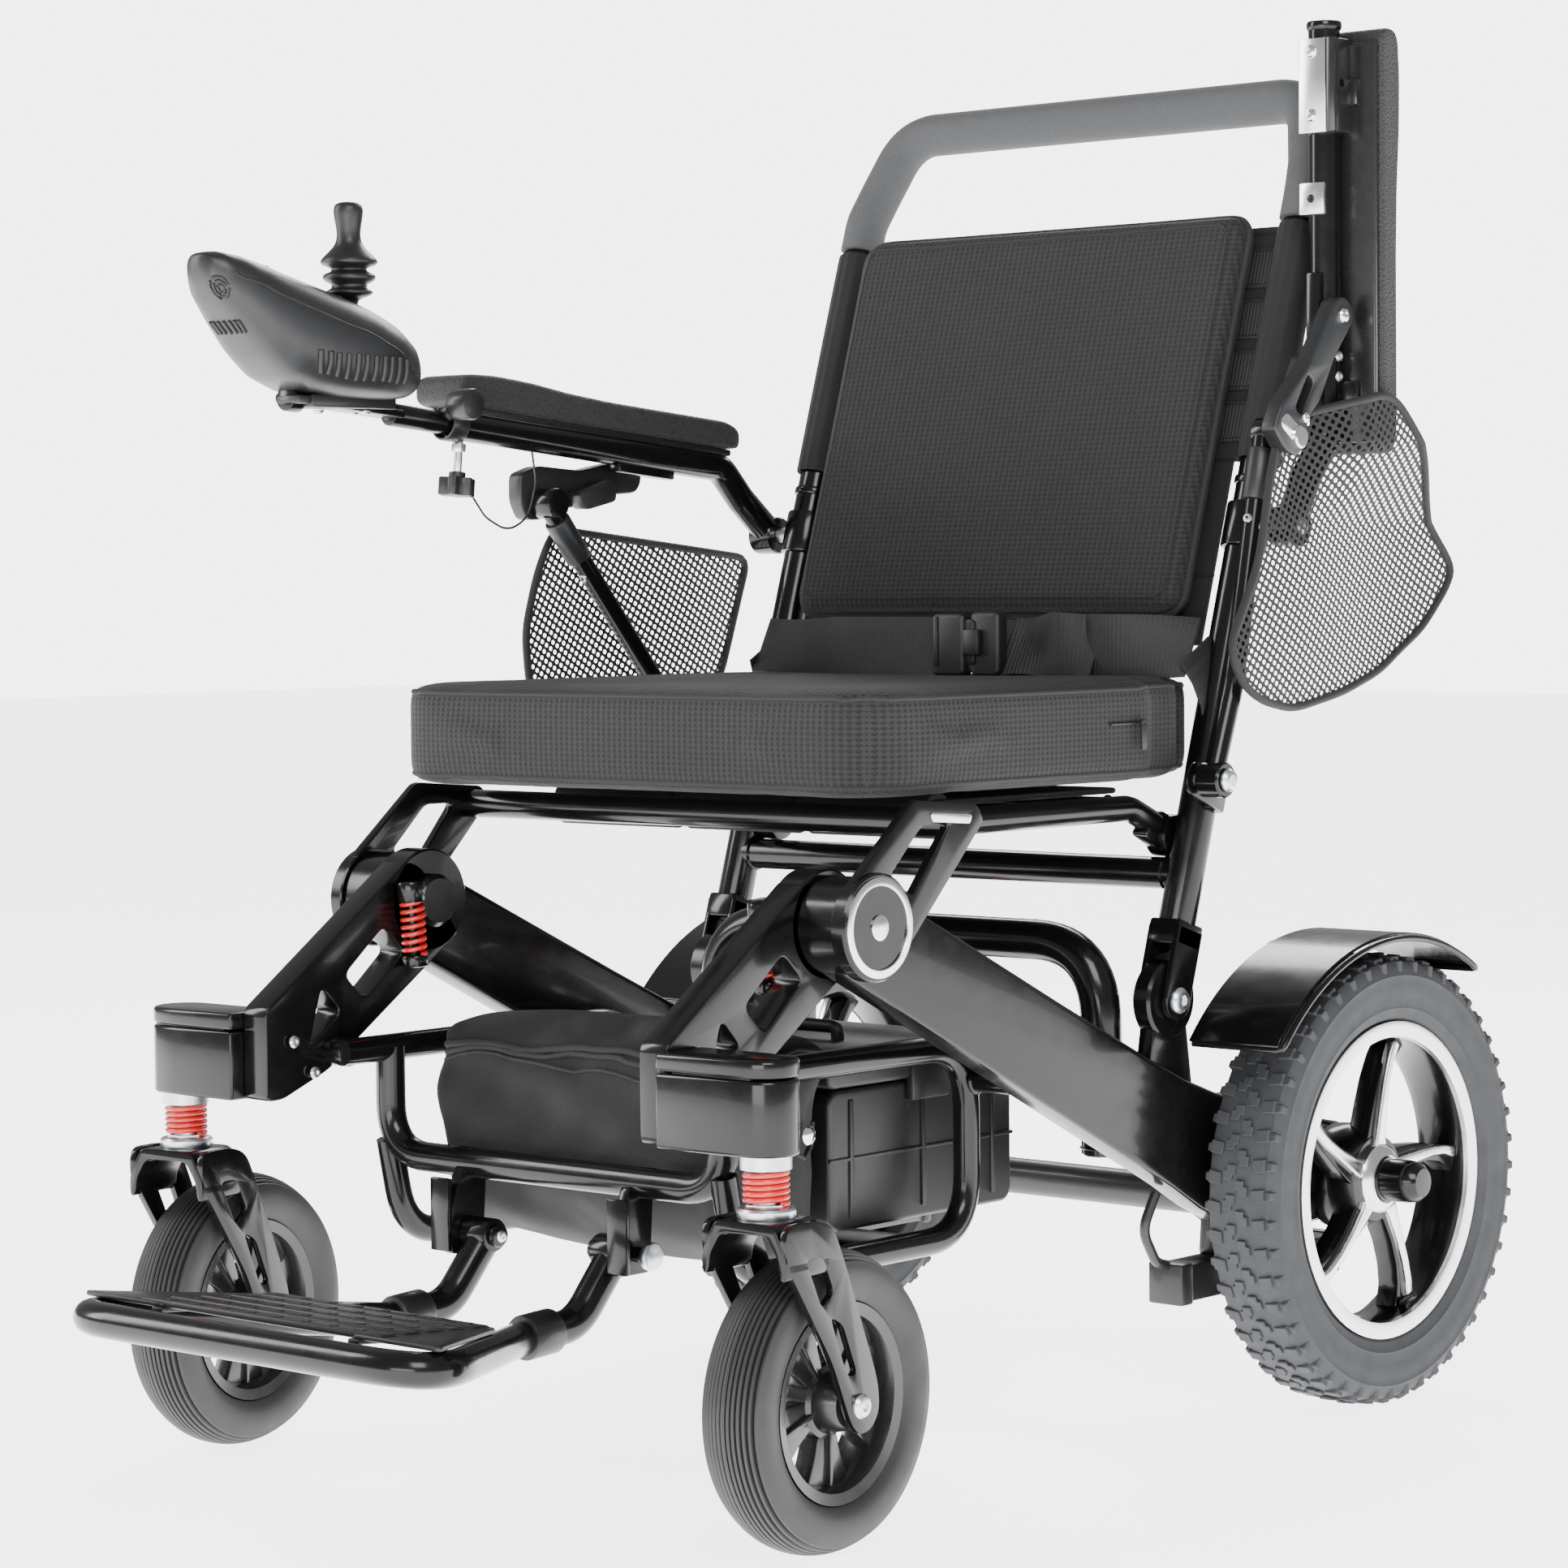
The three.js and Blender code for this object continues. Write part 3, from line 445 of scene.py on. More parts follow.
def net_cloth():
    look = Look("open_net_cloth", (0.02, 0.02, 0.022), 0.78, sheen_weight=0.04)
    u, v, _ = look.parts(look.laid(30))
    step = math.tau / 0.0104
    wave = (u * step).sine() * (v * step).sine()
    knit = 1 - wave.size().between(0.52, 0.62)
    look.feed("Alpha", knit)
    look.feed("Base Color", look.blend(look.noise(400, 3), (0.006, 0.006, 0.0065), (0.018, 0.018, 0.019)))
    return look.raised(knit, 0.0006, 0.6).material


# Darker than the grey housing: painted shade on the vent ribs, which stand for slots, and the colour of the
# housing's dark seam line.
def slot_shade_and_seam_look():
    look = Look("slot_shade_and_seam_plastic", (0.006, 0.006, 0.0065), 0.5)
    tinted(look, 50, (0.004, 0.004, 0.0045), (0.01, 0.01, 0.011))
    return look.raised(look.noise(1900, 2), 0.0002, 0.4).material


LOOKS = {
    "paint": gloss_paint(), "satin": satin_paint(), "plastic": moulded_plastic(), "polished": gloss_plastic(),
    "grey": grey_plastic(), "tyre": tyre_rubber(), "caster": caster_rubber(), "alloy": machined_alloy(),
    "zinc": zinc_plate(), "chrome": bright_chrome(), "red": red_paint(), "foam": grip_foam(),
    "pad": pad_skin(), "nylon": nylon_cloth(), "webbing": webbing(), "tape": binding_tape(),
    "mesh": air_mesh(), "net": net_cloth(), "dark": slot_shade_and_seam_look(),
}


# ------------------------------------------------------------------ making
def active():
    return bpy.context.view_layer.objects.active


def select_none():
    bpy.ops.object.select_all(action="DESELECT")


def select_only(*pieces):
    select_none()
    for piece in pieces:
        piece.select_set(True)
    bpy.context.view_layer.objects.active = pieces[0]


def in_edit(piece, *steps):
    select_only(piece)
    bpy.ops.object.mode_set(mode="EDIT")
    bpy.ops.mesh.select_all(action="SELECT")
    for step in steps:
        step()
    bpy.ops.object.mode_set(mode="OBJECT")
    return piece


def apply_modifiers(piece):
    select_only(piece)
    for name in [m.name for m in piece.modifiers]:
        bpy.ops.object.modifier_apply(modifier=name)
    return piece


def rounded_off(piece, width, segments=2, angle=35):
    if width > 0:
        edge = piece.modifiers.new("edge", "BEVEL")
        edge.width, edge.segments, edge.angle_limit = width, segments, math.radians(angle)
        edge.limit_method = "ANGLE"
        apply_modifiers(piece)
    return piece


def outward(piece):
    return in_edit(piece, lambda: bpy.ops.mesh.normals_make_consistent(inside=False))


def plate(outline, low, high, normal="x", bevel=0.8, segments=2):
    """A flat outline given thickness along one axis, with its edges rounded."""
    select_none()
    bpy.ops.mesh.primitive_circle_add(vertices=len(outline), radius=1, fill_type="NGON")
    piece = active()
    for vertex, (a, b) in zip(piece.data.vertices, outline):
        vertex.co = {"x": (low, a, b), "y": (a, low, b), "z": (a, b, low)}[normal]
    push = Vector({"x": (1, 0, 0), "y": (0, 1, 0), "z": (0, 0, 1)}[normal]) * (high - low)
    in_edit(piece, lambda: bpy.ops.mesh.extrude_region_move(TRANSFORM_OT_translate={"value": push}))
    outward(piece)
    return rounded_off(piece, bevel, segments)


def bar(low, high, bevel=1.0, segments=2):
    select_none()
    middle = [(a + b) / 2 for a, b in zip(low, high)]
    bpy.ops.mesh.primitive_cube_add(size=1, location=middle)
    piece = active()
    piece.scale = [b - a for a, b in zip(low, high)]
    bpy.ops.object.transform_apply(location=True, rotation=True, scale=True)
    return rounded_off(piece, bevel, segments)


def rod(start, end, radius, bevel=0.6, sides=28):
    select_none()
    start, end = Vector(start), Vector(end)
    bpy.ops.mesh.primitive_cylinder_add(vertices=sides, radius=radius, depth=(end - start).length,
                                        location=(start + end) / 2)
    piece = active()
    piece.rotation_euler = (end - start).to_track_quat("Z", "Y").to_euler()
    bpy.ops.object.transform_apply(location=True, rotation=True, scale=True)
    return rounded_off(piece, bevel)


def lathe(profile, axis="x", centre=(0, 0, 0), steps=72, closed=True):
    """A profile of (radius, along) points turned about an axis."""
    select_none()
    bpy.ops.mesh.primitive_circle_add(vertices=len(profile), radius=1, fill_type="NOTHING")
    piece = active()
    for vertex, (radius, along) in zip(piece.data.vertices, profile):
        vertex.co = (radius, 0, along)
    if not closed:
        in_edit(piece, lambda: bpy.ops.mesh.select_all(action="DESELECT"))
        last = len(profile) - 1
        for edge in piece.data.edges:
            edge.select = set(edge.vertices) == {0, last}
        select_only(piece)
        bpy.ops.object.mode_set(mode="EDIT")
        bpy.ops.mesh.select_mode(type="EDGE")
        bpy.ops.mesh.delete(type="EDGE")
        bpy.ops.object.mode_set(mode="OBJECT")
    spin = piece.modifiers.new("turn", "SCREW")
    spin.axis, spin.steps, spin.render_steps = "Z", steps, steps
    spin.use_merge_vertices, spin.merge_threshold = True, 0.001
    apply_modifiers(piece)
    if not closed:
        in_edit(piece, lambda: bpy.ops.mesh.remove_doubles(threshold=0.01))
    outward(piece)
    turn = {"x": Matrix.Rotation(math.radians(90), 4, "Y"), "y": Matrix.Rotation(math.radians(-90), 4, "X"),
            "z": Matrix.Identity(4)}[axis]
    piece.data.transform(Matrix.Translation(centre) @ turn)
    return piece


def fillet(corners, bend, steps):
    """The points of a line whose corners are bent round."""
    points = [Vector(c) for c in corners]
    stops = [points[0]]
    for before, corner, after in zip(points, points[1:], points[2:]):
        back, on = before - corner, after - corner
        half = back.angle(on) / 2
        reach = min(bend / math.tan(half), back.length * 0.48, on.length * 0.48)
        start, end = corner + back.normalized() * reach, corner + on.normalized() * reach
        for i in range(steps + 1):
            t = i / steps
            stops.append(start * (1 - t) ** 2 + corner * 2 * t * (1 - t) + end * t**2)
    return stops + [points[-1]]


def pipe(corners, radius, bend=40, steps=8, resolution=5, bevel=0.0):
    """A round tube along straight runs with smooth bends, its ends closed."""
    select_none()
    bpy.ops.curve.primitive_nurbs_path_add()
    line = active()
    line.data.splines.clear()
    stops = fillet(corners, bend, steps)
    spline = line.data.splines.new("POLY")
    spline.points.add(len(stops) - 1)
    for point, stop in zip(spline.points, stops):
        point.co = (*stop, 1)
    line.data.dimensions, line.data.bevel_depth, line.data.bevel_resolution = "3D", radius, resolution
    line.data.use_fill_caps = True
    bpy.ops.object.convert(target="MESH")
    return rounded_off(active(), bevel)


def joined(*pieces):
    select_only(*pieces)
    bpy.ops.object.join()
    return active()


def carved(piece, *cutters):
    for cutter in cutters:
        hole = piece.modifiers.new("hole", "BOOLEAN")
        hole.operation, hole.object, hole.solver = "DIFFERENCE", cutter, "EXACT"
        apply_modifiers(piece)
        bpy.data.objects.remove(cutter)
    return piece


def copied(piece, matrix=None):
    twin = piece.copy()
    twin.data = piece.data.copy()
    bpy.context.collection.objects.link(twin)
    if matrix is not None:
        twin.data.transform(matrix)
    return twin


def mirrored(piece):
    """The same piece on the other side, faces still outward."""
    twin = copied(piece, Matrix.Scale(-1, 4, (1, 0, 0)))
    twin.data.flip_normals()
    return twin


def done(piece, name, body, look, local=CHAIR, replaces=(), smooth=38, cloth=False):
    """Gives a piece its place, finish, name and body."""
    piece.data.transform(local @ TO_METRES)
    return dressed(piece, name, body, look, replaces, smooth, cloth)


def dressed(piece, name, body, look, replaces=(), smooth=38, cloth=False):
    piece.name = piece.data.name = name
    looks = [look] if isinstance(look, str) else look
    if len(piece.data.materials) != len(looks):
        piece.data.materials.clear()
        for each in looks:
            piece.data.materials.append(LOOKS[each])
    select_only(piece)
    bpy.ops.object.shade_smooth_by_angle(angle=math.radians(smooth))
    if cloth:
        in_edit(piece, lambda: bpy.ops.uv.cube_project(cube_size=1.0))
    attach(piece, body)
    if replaces:
        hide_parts(*replaces)
    return piece


def bolt(place, axis, radius, height):
    """The head of a button-head screw with a hexagon socket, facing along axis."""
    head = lathe([(0, 0), (radius, 0), (radius, height * 0.35), (radius * 0.8, height * 0.85),
                  (radius * 0.55, height), (0, height)], "z", steps=20, closed=False)
    select_none()
    bpy.ops.mesh.primitive_cylinder_add(vertices=6, radius=radius * 0.45, depth=height,
                                        location=(0, 0, height * 1.05))
    carved(head, active())
    turn = Vector(axis).to_track_quat("Z", "Y").to_matrix().to_4x4()
    head.data.transform(Matrix.Translation(place) @ turn)
    return head


def bolts(name, body, places, axis, radius, height):
    heads = [bolt(place, axis, radius, height) for place in places]
    done(joined(*heads), name, body, "zinc", smooth=30)


def spring(centre, low, high, radius, wire, turns):
    """A coil spring with closed ends, standing along Z."""
    steps = int(turns * 20)
    stops = []
    for i in range(steps + 1):
        t = math.tau * turns * i / steps
        stops.append((centre[0] + radius * math.cos(t), centre[1] + radius * math.sin(t),
                      low + (high - low) * i / steps))
    return pipe(stops, wire, 1, 1, 3)


def arc(a, b, radius, start, end, steps):
    """Points round (a, b) from one angle to another, in degrees."""
    turn = [math.radians(start + (end - start) * i / steps) for i in range(steps + 1)]
    return [(a + radius * math.cos(t), b + radius * math.sin(t)) for t in turn]


def rounded(a0, a1, b0, b1, r, steps=5):
    """A rectangle's outline with round corners."""
    return [*arc(a1 - r, b0 + r, r, -90, 0, steps), *arc(a1 - r, b1 - r, r, 0, 90, steps),
            *arc(a0 + r, b1 - r, r, 90, 180, steps), *arc(a0 + r, b0 + r, r, 180, 270, steps)]


def softened(outline, bend=6, steps=4):
    """A closed outline with each corner rounded."""
    stops = []
    points = [Vector(p) for p in outline]
    for i, corner in enumerate(points):
        back, on = points[i - 1] - corner, points[(i + 1) % len(points)] - corner
        start = corner + back.normalized() * min(bend, back.length * 0.45)
        end = corner + on.normalized() * min(bend, on.length * 0.45)
        for k in range(steps + 1):
            t = k / steps
            stops.append(tuple(start * (1 - t) ** 2 + corner * 2 * t * (1 - t) + end * t**2))
    return stops


def sided(piece, sign):
    """The piece as drawn for the left side, or its mirror image for the right."""
    if sign > 0:
        return piece
    twin = mirrored(piece)
    bpy.data.objects.remove(piece)
    return twin


def around(piece, count, centre, start=0.0):
    """Copies of a piece in a ring about the line along X through centre."""
    middle = Matrix.Translation(centre)
    turns = [Matrix.Rotation(math.radians(start + 360 * i / count), 4, "X") for i in range(count)]
    copies = [copied(piece, middle @ turn @ middle.inverted()) for turn in turns]
    bpy.data.objects.remove(piece)
    return joined(*copies)


def seam(corners, radius):
    """A line of stitching."""
    return pipe(corners, radius, 8, 4, 2)


# ------------------------------------------------------------------ rear wheels
def rear_tyre(letter, side, sign):
    """A carcass and 48 rows of blocks, shoulder lugs and side notches."""
    right = [(111.8, 20.5), (114, 23.4), (119, 25.2), (121, 26.6), (123, 26.2), (130, 27.6), (138, 28.3),
             (142, 28.0), (144, 28.6), (146, 27.4), (150, 26), (153.5, 23), (155.2, 17), (156.2, 9),
             (156.6, 3)]
    profile = [(r, WHEEL_X - a) for r, a in right] + [(r, WHEEL_X + a) for r, a in reversed(right)]
    carcass = lathe(profile, "x", (0, 0, AXLE_Z), 96)
    block = [(241, 4.6), (248.2, 4.6), (248.2, 8.5), (250.6, 8.5), (250.6, 15.5), (243.6, 15.5),
             (243.6, 11.6),
             (241, 11.6)]
    lug = [(12.5, -9.4), (22.5, -8.2), (22.5, 0.6), (12.5, -0.6)]
    notch = [(21, -8.4), (27.2, -6.8), (27.2, -1.4), (21, -0.4)]
    tread = []
    for flank, shift in ((1, 0), (-1, 10.2)):
        outline = [(WHEEL_X + flank * (x - WHEEL_X), y + shift - 10) for x, y in block]
        tread.append(plate(outline, 156.0, 158.2, "z", 0.5, 1))
        for shape, low, high, edge in ((lug, 152.6, 157.0, 0.5), (notch, 145, 154.2, 0.8)):
            outline = [(WHEEL_X - flank * x, y + shift) for x, y in shape]
            tread.append(plate(outline, low, high, "z", edge, 1))
    knobs = joined(*tread)
    knobs.data.transform(Matrix.Translation((0, 0, AXLE_Z)))
    knobs = around(knobs, 48, (0, 0, AXLE_Z))
    done(sided(joined(carcass, knobs), sign), f"rear_tyre_{side}_finish", f"rear_wheel_{letter}", "tyre",
         replaces=(f"rear_tyre_{side}",), smooth=32)


def spoke_outline():
    """One wheel spoke seen along the axle, bowed forward as it runs out to the rim."""
    lead = [(-13, 14), (-9, 30), (-3, 50), (4, 70), (12, 86), (21, 97)]
    trail = [(34, 93), (22, 82), (15, 68), (10.5, 50), (9, 30), (12, 14)]
    return lead + trail


def rear_rim(letter, side, sign):
    centre = (0, 0, AXLE_Z)
    barrel = lathe([(111.4, 228), (111.4, 236), (104, 240), (102.5, 262), (107, 268), (111.4, 270),
                    (111.4, 272),
                    (101, 272), (97.5, 262), (98.5, 240), (104, 230)], "x", centre, 80)
    drum = lathe([(0, 223), (33, 223), (37, 228), (38, 246), (30, 262), (0, 262)], "x", centre, 48,
                 closed=False)
    back = plate(softened([(y * 1.12, z) for y, z in spoke_outline()], 4), 244, 261, "x", 2.5, 2)
    back.data.transform(Matrix.Translation(centre))
    cap = lathe([(0, 262), (15, 262), (15, 288), (14, 296), (10, 300.4), (0, 301)], "x", centre, 32,
                closed=False)
    black = joined(barrel, drum, around(back, 5, centre), cap)
    done(sided(black, sign), f"rear_rim_{side}_black", f"rear_wheel_{letter}", "paint",
         replaces=(f"rear_rim_{side}",))
    lip = lathe([(111.4, 270.6), (111.6, 274.6), (108, 275.2), (100.5, 273.8), (99.6, 270.6)], "x", centre,
                80)
    face = plate(softened([(0.6 * y + 0.06 * z, z) for y, z in spoke_outline()], 3), 258, 265.5, "x", 2.2, 3)
    face.data.transform(Matrix.Translation(centre))
    rings = lathe([(15.2, 261), (24.4, 261), (24.4, 266), (21.6, 269.5), (17, 271), (15.2, 270)], "x", centre,
                  48)
    bright = joined(lip, around(face, 5, centre), rings)
    done(sided(bright, sign), f"rear_rim_{side}_machined", f"rear_wheel_{letter}", "alloy")
    valve = rod((262, 30, AXLE_Z - 93), (276, 26, AXLE_Z - 84), 2.6, 0.6, 14)
    done(sided(valve, sign), f"tyre_valve_{side}", f"rear_wheel_{letter}", "plastic")


def mudguard(side, sign):
    centre = (-20, 142)
    outer = [*arc(*centre, 193, 58, 139, 26), *arc(*centre, 190.6, 139, 58, 26)]
    shell = plate(outer, 219, 292, "x", 0.7, 1)
    rim = [(294.4, y, z) for y, z in arc(*centre, 189.2, 58, 139, 26)]
    front, rear = rim[0][1:], rim[-1][1:]
    path = [(221, *front), (286, *front), *rim, (286, *rear), (221, *rear)]
    roll = pipe(path, 2.2, 8, 2, 3)
    stay = plate(softened([(-75, 217), (-50, 210), (-46, 331), (-71, 328)], 8), 215.4, 221, "x", 1.2)
    piece = sided(joined(shell, roll, stay), sign)
    done(piece, f"mudguard_{side}_finish", "chassis", "paint", replaces=(f"mudguard_{side}",))


for letter, side, sign in SIDES:
    rear_tyre(letter, side, sign)
    rear_rim(letter, side, sign)
    mudguard(side, sign)


# ------------------------------------------------------------------ casters
def caster_tyre(letter, side):
    half = [(61.6, 17.5), (64, 20), (70, 21.8), (78, 22.6), (82, 21.6)]
    crown = []
    for i in range(7):
        a = 19.4 - i * 3.2
        r = 92.4 - 8.4 * (abs(a) / 21.6) ** 2.2
        crown += [(r - 0.3, a + 1.2), (r, a + 0.5), (r, a - 0.7), (r - 0.4, a - 1.1), (r - 1.9, a - 1.3),
                  (r - 1.9, a - 1.7)]
    crown = [p for p in crown if p[1] > 0.2]
    side_a = half + crown
    profile = side_a + [(r, -a) for r, a in reversed(side_a)]
    tyre = lathe(profile, "x", (0, CASTER_TRAIL, CASTER_R), 84)
    done(tyre, f"caster_tyre_{side}_finish", f"caster_wheel_{letter}", "caster", FORK[letter],
         (f"caster_tyre_{side}",), 30)


def caster_hub(letter, side):
    centre = (0, CASTER_TRAIL, CASTER_R)
    rim = lathe([(51, -11), (54, -17), (61, -18.5), (61, 18.5), (54, 17), (51, 11)], "x", centre, 72)
    boss = lathe([(6.5, -24), (14, -24), (16, -21), (19, -9), (22, -7), (22, 7), (19, 9), (16, 21), (14, 24),
                  (6.5, 24)], "x", centre, 48)
    web = plate(softened([(-9, 18), (-12, 30), (-22, 53), (22, 53), (12, 30), (9, 18)], 5), -7, 7, "x", 2.4,
                2)
    web.data.transform(Matrix.Translation(centre))
    rib = plate([(-1.6, 18), (-1.6, 53), (1.6, 53), (1.6, 18)], -10, 10, "x", 0.7)
    rib.data.transform(Matrix.Translation(centre))
    hub = joined(rim, boss, around(web, 5, centre, start=36), around(rib, 5, centre, start=36))
    done(hub, f"caster_hub_{side}_finish", f"caster_wheel_{letter}", "polished", FORK[letter],
         (f"caster_hub_{side}",))


def caster_fork(letter, side):
    outline = [(-21, 208.6), (10, 208.6), (24, 203), (36, 178), (66, 106), (68, 88), (60, 77), (48, 75),
               (40, 82),
               (22, 122), (-16, 178), (-22, 190)]
    windows = [[(-3, 187), (13, 187), (24, 164), (12, 156)], [(20, 150), (32, 144), (46, 112), (36, 112)]]
    cheeks = []
    for sign in (1, -1):
        x0, x1 = sorted((sign * 26.8, sign * 31.6))
        cheek = plate(softened(outline, 9), x0, x1, "x", 0)
        holes = [plate(softened(w, 5), x0 - 2, x1 + 2, "x", 0) for w in windows]
        cheeks.append(rounded_off(carved(cheek, *holes), 1.3, 2))
    crown = plate(softened([(-31.6, 176), (-31.6, 190), (-22, 208.6), (22, 208.6), (31.6, 190), (31.6, 176),
                            (27, 176), (26, 187), (17, 201.5), (-17, 201.5), (-26, 187), (-27, 176)], 5),
                  -22, 20, "y", 1.5)
    done(joined(*cheeks, crown), f"caster_fork_{side}_finish", f"fork_{letter}", "paint", FORK[letter],
         (f"caster_fork_{side}",))
    axle = joined(rod((-30, CASTER_TRAIL, CASTER_R), (30, CASTER_TRAIL, CASTER_R), 5.6),
                  bolt((31.4, CASTER_TRAIL, CASTER_R), (1, 0, 0), 7.5, 4.5),
                  bolt((-31.4, CASTER_TRAIL, CASTER_R), (-1, 0, 0), 7.5, 4.5))
    done(axle, f"caster_axle_{side}", f"fork_{letter}", "zinc", FORK[letter], smooth=30)


def caster_stem(letter, side):
    shaft = rod((0, 0, 208.6), (0, 0, 280), 8.6, 0.6, 32)
    seat = lathe([(9, 208.6), (17, 208.6), (17.6, 210), (17.6, 213.6), (16.6, 215), (12, 216.2), (9, 216.2)],
                 "z", steps=36)
    nut = lathe([(9, 216.2), (12.6, 216.2), (12.6, 217), (9, 217)], "z", steps=6)
    done(joined(shaft, seat, nut), f"caster_stem_{side}_finish", f"stem_{letter}", "zinc", STEM[letter],
         (f"caster_stem_{side}",), 34)
    coil = spring((0, 0), 217.4, 236.4, 12.6, 1.75, 5.2)
    done(coil, f"caster_spring_{side}_finish", "legs", "red", STEM[letter], (f"caster_spring_{side}",), 60)
    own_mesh(coil)
    cup = lathe([(9.9, 237.9), (15.6, 237.9), (15.6, 245.8), (9.9, 245.8)], "z", steps=36)
    done(cup, f"caster_spring_cup_{side}", "legs", "zinc", STEM[letter], smooth=34)


def caster_box(side, sign):
    x, y = CASTER_X, CASTER_Y
    outline = [(189.4, y - 21), (246, y - 21), *arc(x, y, 20.5, -75, 75, 12), (246, y + 21), (189.4, y + 21)]
    body = plate(outline, 246.2, 291.6, "z", 2.2, 3)
    cap = plate(outline, 292.4, 303.6, "z", 2.4, 3)
    core = plate([(200, y - 17), (262, y - 17), (262, y + 17), (200, y + 17)], 288, 296, "z", 0.4)
    body, cap, core = [carved(block, rod((x, y, 230), (x, y, 298), 9.8, 0, 32)) for block in (body, cap,
                                                                                              core)]
    ear = plate(softened([(y + 19, 262), (y + 41, 258), (y + 41, 284), (y + 19, 290)], 4), 189.6, 195, "x", 1)
    done(sided(joined(body, cap, core, ear), sign), f"caster_box_{side}_finish", "legs", "paint",
         replaces=(f"caster_box_{side}",))
    places = [(sign * 195, y + 27, 279), (sign * 195, y + 31, 266)]
    bolts(f"caster_box_bolts_{side}", "legs", places, (sign, 0, 0), 4.6, 3.4)
    drop = [(sign * 164.6, y + 12, 284), (sign * 164.6, y + 30, 262)]
    bolts(f"caster_box_inner_bolts_{side}", "legs", drop, (-sign, 0, 0), 4.2, 2.6)


for letter, side, sign in SIDES:
    caster_tyre(letter, side)
    caster_hub(letter, side)
    caster_fork(letter, side)
    caster_stem(letter, side)
    caster_box(side, sign)


# ------------------------------------------------------------------ legs, links and side tubes
def front_leg(side, sign):
    y, z = HINGE
    outline = softened([(-478, 345), (-600, 262), (-641, 246), (-655, 246), (-655, 306), (-525, 397.6),
                        (-512, 392)], 5)
    arm = plate(outline, 167, 189, "x", 0)
    windows = [[(-548, 354), (-530, 336), (-566, 306), (-584, 324)], [(-605, 318), (-588, 300), (-617, 278)]]
    arm = carved(arm, *[plate(softened(w, 6), 150, 210, "x", 0) for w in windows])
    arm = rounded_off(arm, 2.6, 3)
    eye = lathe([(13.4, 167), (33.5, 167), (35, 168.5), (35, 187.5), (33.5, 189), (13.4, 189)], "x",
                (0, y, z), 56)
    pin = rod((170, y, z), (218, y, z), 13.1, 0.8, 40)
    nose = lathe([(0, 158), (15, 158), (18, 161), (18, 167.4), (0, 167.4)], "x", (0, y, z), 40, closed=False)
    done(sided(joined(arm, eye, pin, nose), sign), f"front_leg_{side}_finish", "legs", "paint",
         replaces=(f"front_leg_{side}",))
    damper_frame = chair_frame(-531, 372, -4, sign * 158)
    sleeve = joined(rod((0, 0, -2), (0, 0, 12), 9.5, 1.6), rod((0, 0, -46), (0, 0, -38), 9, 1.4),
                    rod((0, 0, -44), (0, 0, 8), 3.2))
    done(sleeve, f"damper_{side}", "legs", "paint", damper_frame)
    done(spring((0, 0), -38, -2, 7.2, 1.6, 7), f"damper_spring_{side}", "legs", "red", damper_frame,
         smooth=60)


def seat_link(side, sign):
    y, z = HINGE
    outline = [(-526.3, 395.5), (-465, 446), (-402, 441), (-395, 430), (-481, 345)]
    window = [(-489, 400), (-457, 430), (-430, 430), (-468, 386)]
    strut = plate(softened(outline, 5), 219.5, 226.5, "x", 0)
    strut = rounded_off(carved(strut, plate(softened(window, 5), 210, 240, "x", 0)), 1.6, 3)
    eye = lathe([(0, 219.2), (33, 219.2), (34, 220.2), (34, 229), (32.6, 230.4), (0, 230.4)], "x", (0, y, z),
                64,
                closed=False)
    done(sided(joined(strut, eye), sign), f"seat_link_{side}_finish", "legs", "paint",
         replaces=("seat_link",))
    ring = lathe([(26, 229.8), (31.4, 229.8), (31.4, 231.4), (30.4, 232), (26.6, 232), (26, 231.4)], "x",
                 (0, y, z), 64)
    dot = lathe([(0, 230), (8, 230), (8, 231.4), (7.2, 231.9), (0, 232)], "x", (0, y, z), 40, closed=False)
    # The strip is a bright alloy bar on the link's outer face near its top edge, put where a highlight shows
    # on the gloss link: a painted highlight made in metal.
    strip = plate(softened([(-450, 437.5), (-409, 434.6), (-411, 428.6), (-449, 431.6)], 2), 226.2, 227.6,
                  "x", 0.4)
    done(sided(joined(ring, dot, strip), sign), f"hinge_cap_and_highlight_strip_{side}", "legs", "alloy")


def side_tube(side, sign):
    y, z = HINGE
    outline = [(-491, 396), (-300, 305), (-201, 259), (-160, 241), (-126, 229), (-80, 216), (-40, 206),
               (0, 198),
               (26, 193), (36, 188), (40, 180), (40, 138), (36, 130), (26, 126), (0, 124.6), (-40, 124),
               (-76, 127), (-110, 136), (-142, 150), (-174, 168), (-300, 231), (-519, 341)]
    web = plate(outline, 189.6, 215, "x", 4.6, 4)
    drum = lathe([(14.2, 189.6), (30, 189.6), (31, 190.6), (31, 217.6), (30, 218.6), (14.2, 218.6)], "x",
                 (0, y, z), 64)
    neck = plate(softened([(-198, 244), (-146, 230), (-156, 296), (-188, 296)], 8), 197, 209, "x", 1.5)
    eye = lathe([(6.6, 195.6), (25, 195.6), (27, 197.6), (27, 208.4), (25, 210.4), (6.6, 210.4)], "x",
                (0, *POST_FOOT), 48)
    plug = lathe([(0, 214.6), (20, 214.6), (20, 217.4), (18.6, 218.6), (0, 218.8)], "x", (0, 0, AXLE_Z), 40,
                 closed=False)
    done(sided(joined(web, drum, neck, eye, plug), sign), f"side_tube_{side}_finish", "chassis", "paint",
         replaces=(f"side_tube_{side}",))


for letter, side, sign in SIDES:
    front_leg(side, sign)
    seat_link(side, sign)
    side_tube(side, sign)
cross = pipe([(-224, -412, 429), (224, -412, 429)], 9.8, 1, 1, 7)
done(cross, "seat_link_tube", "legs", "paint")


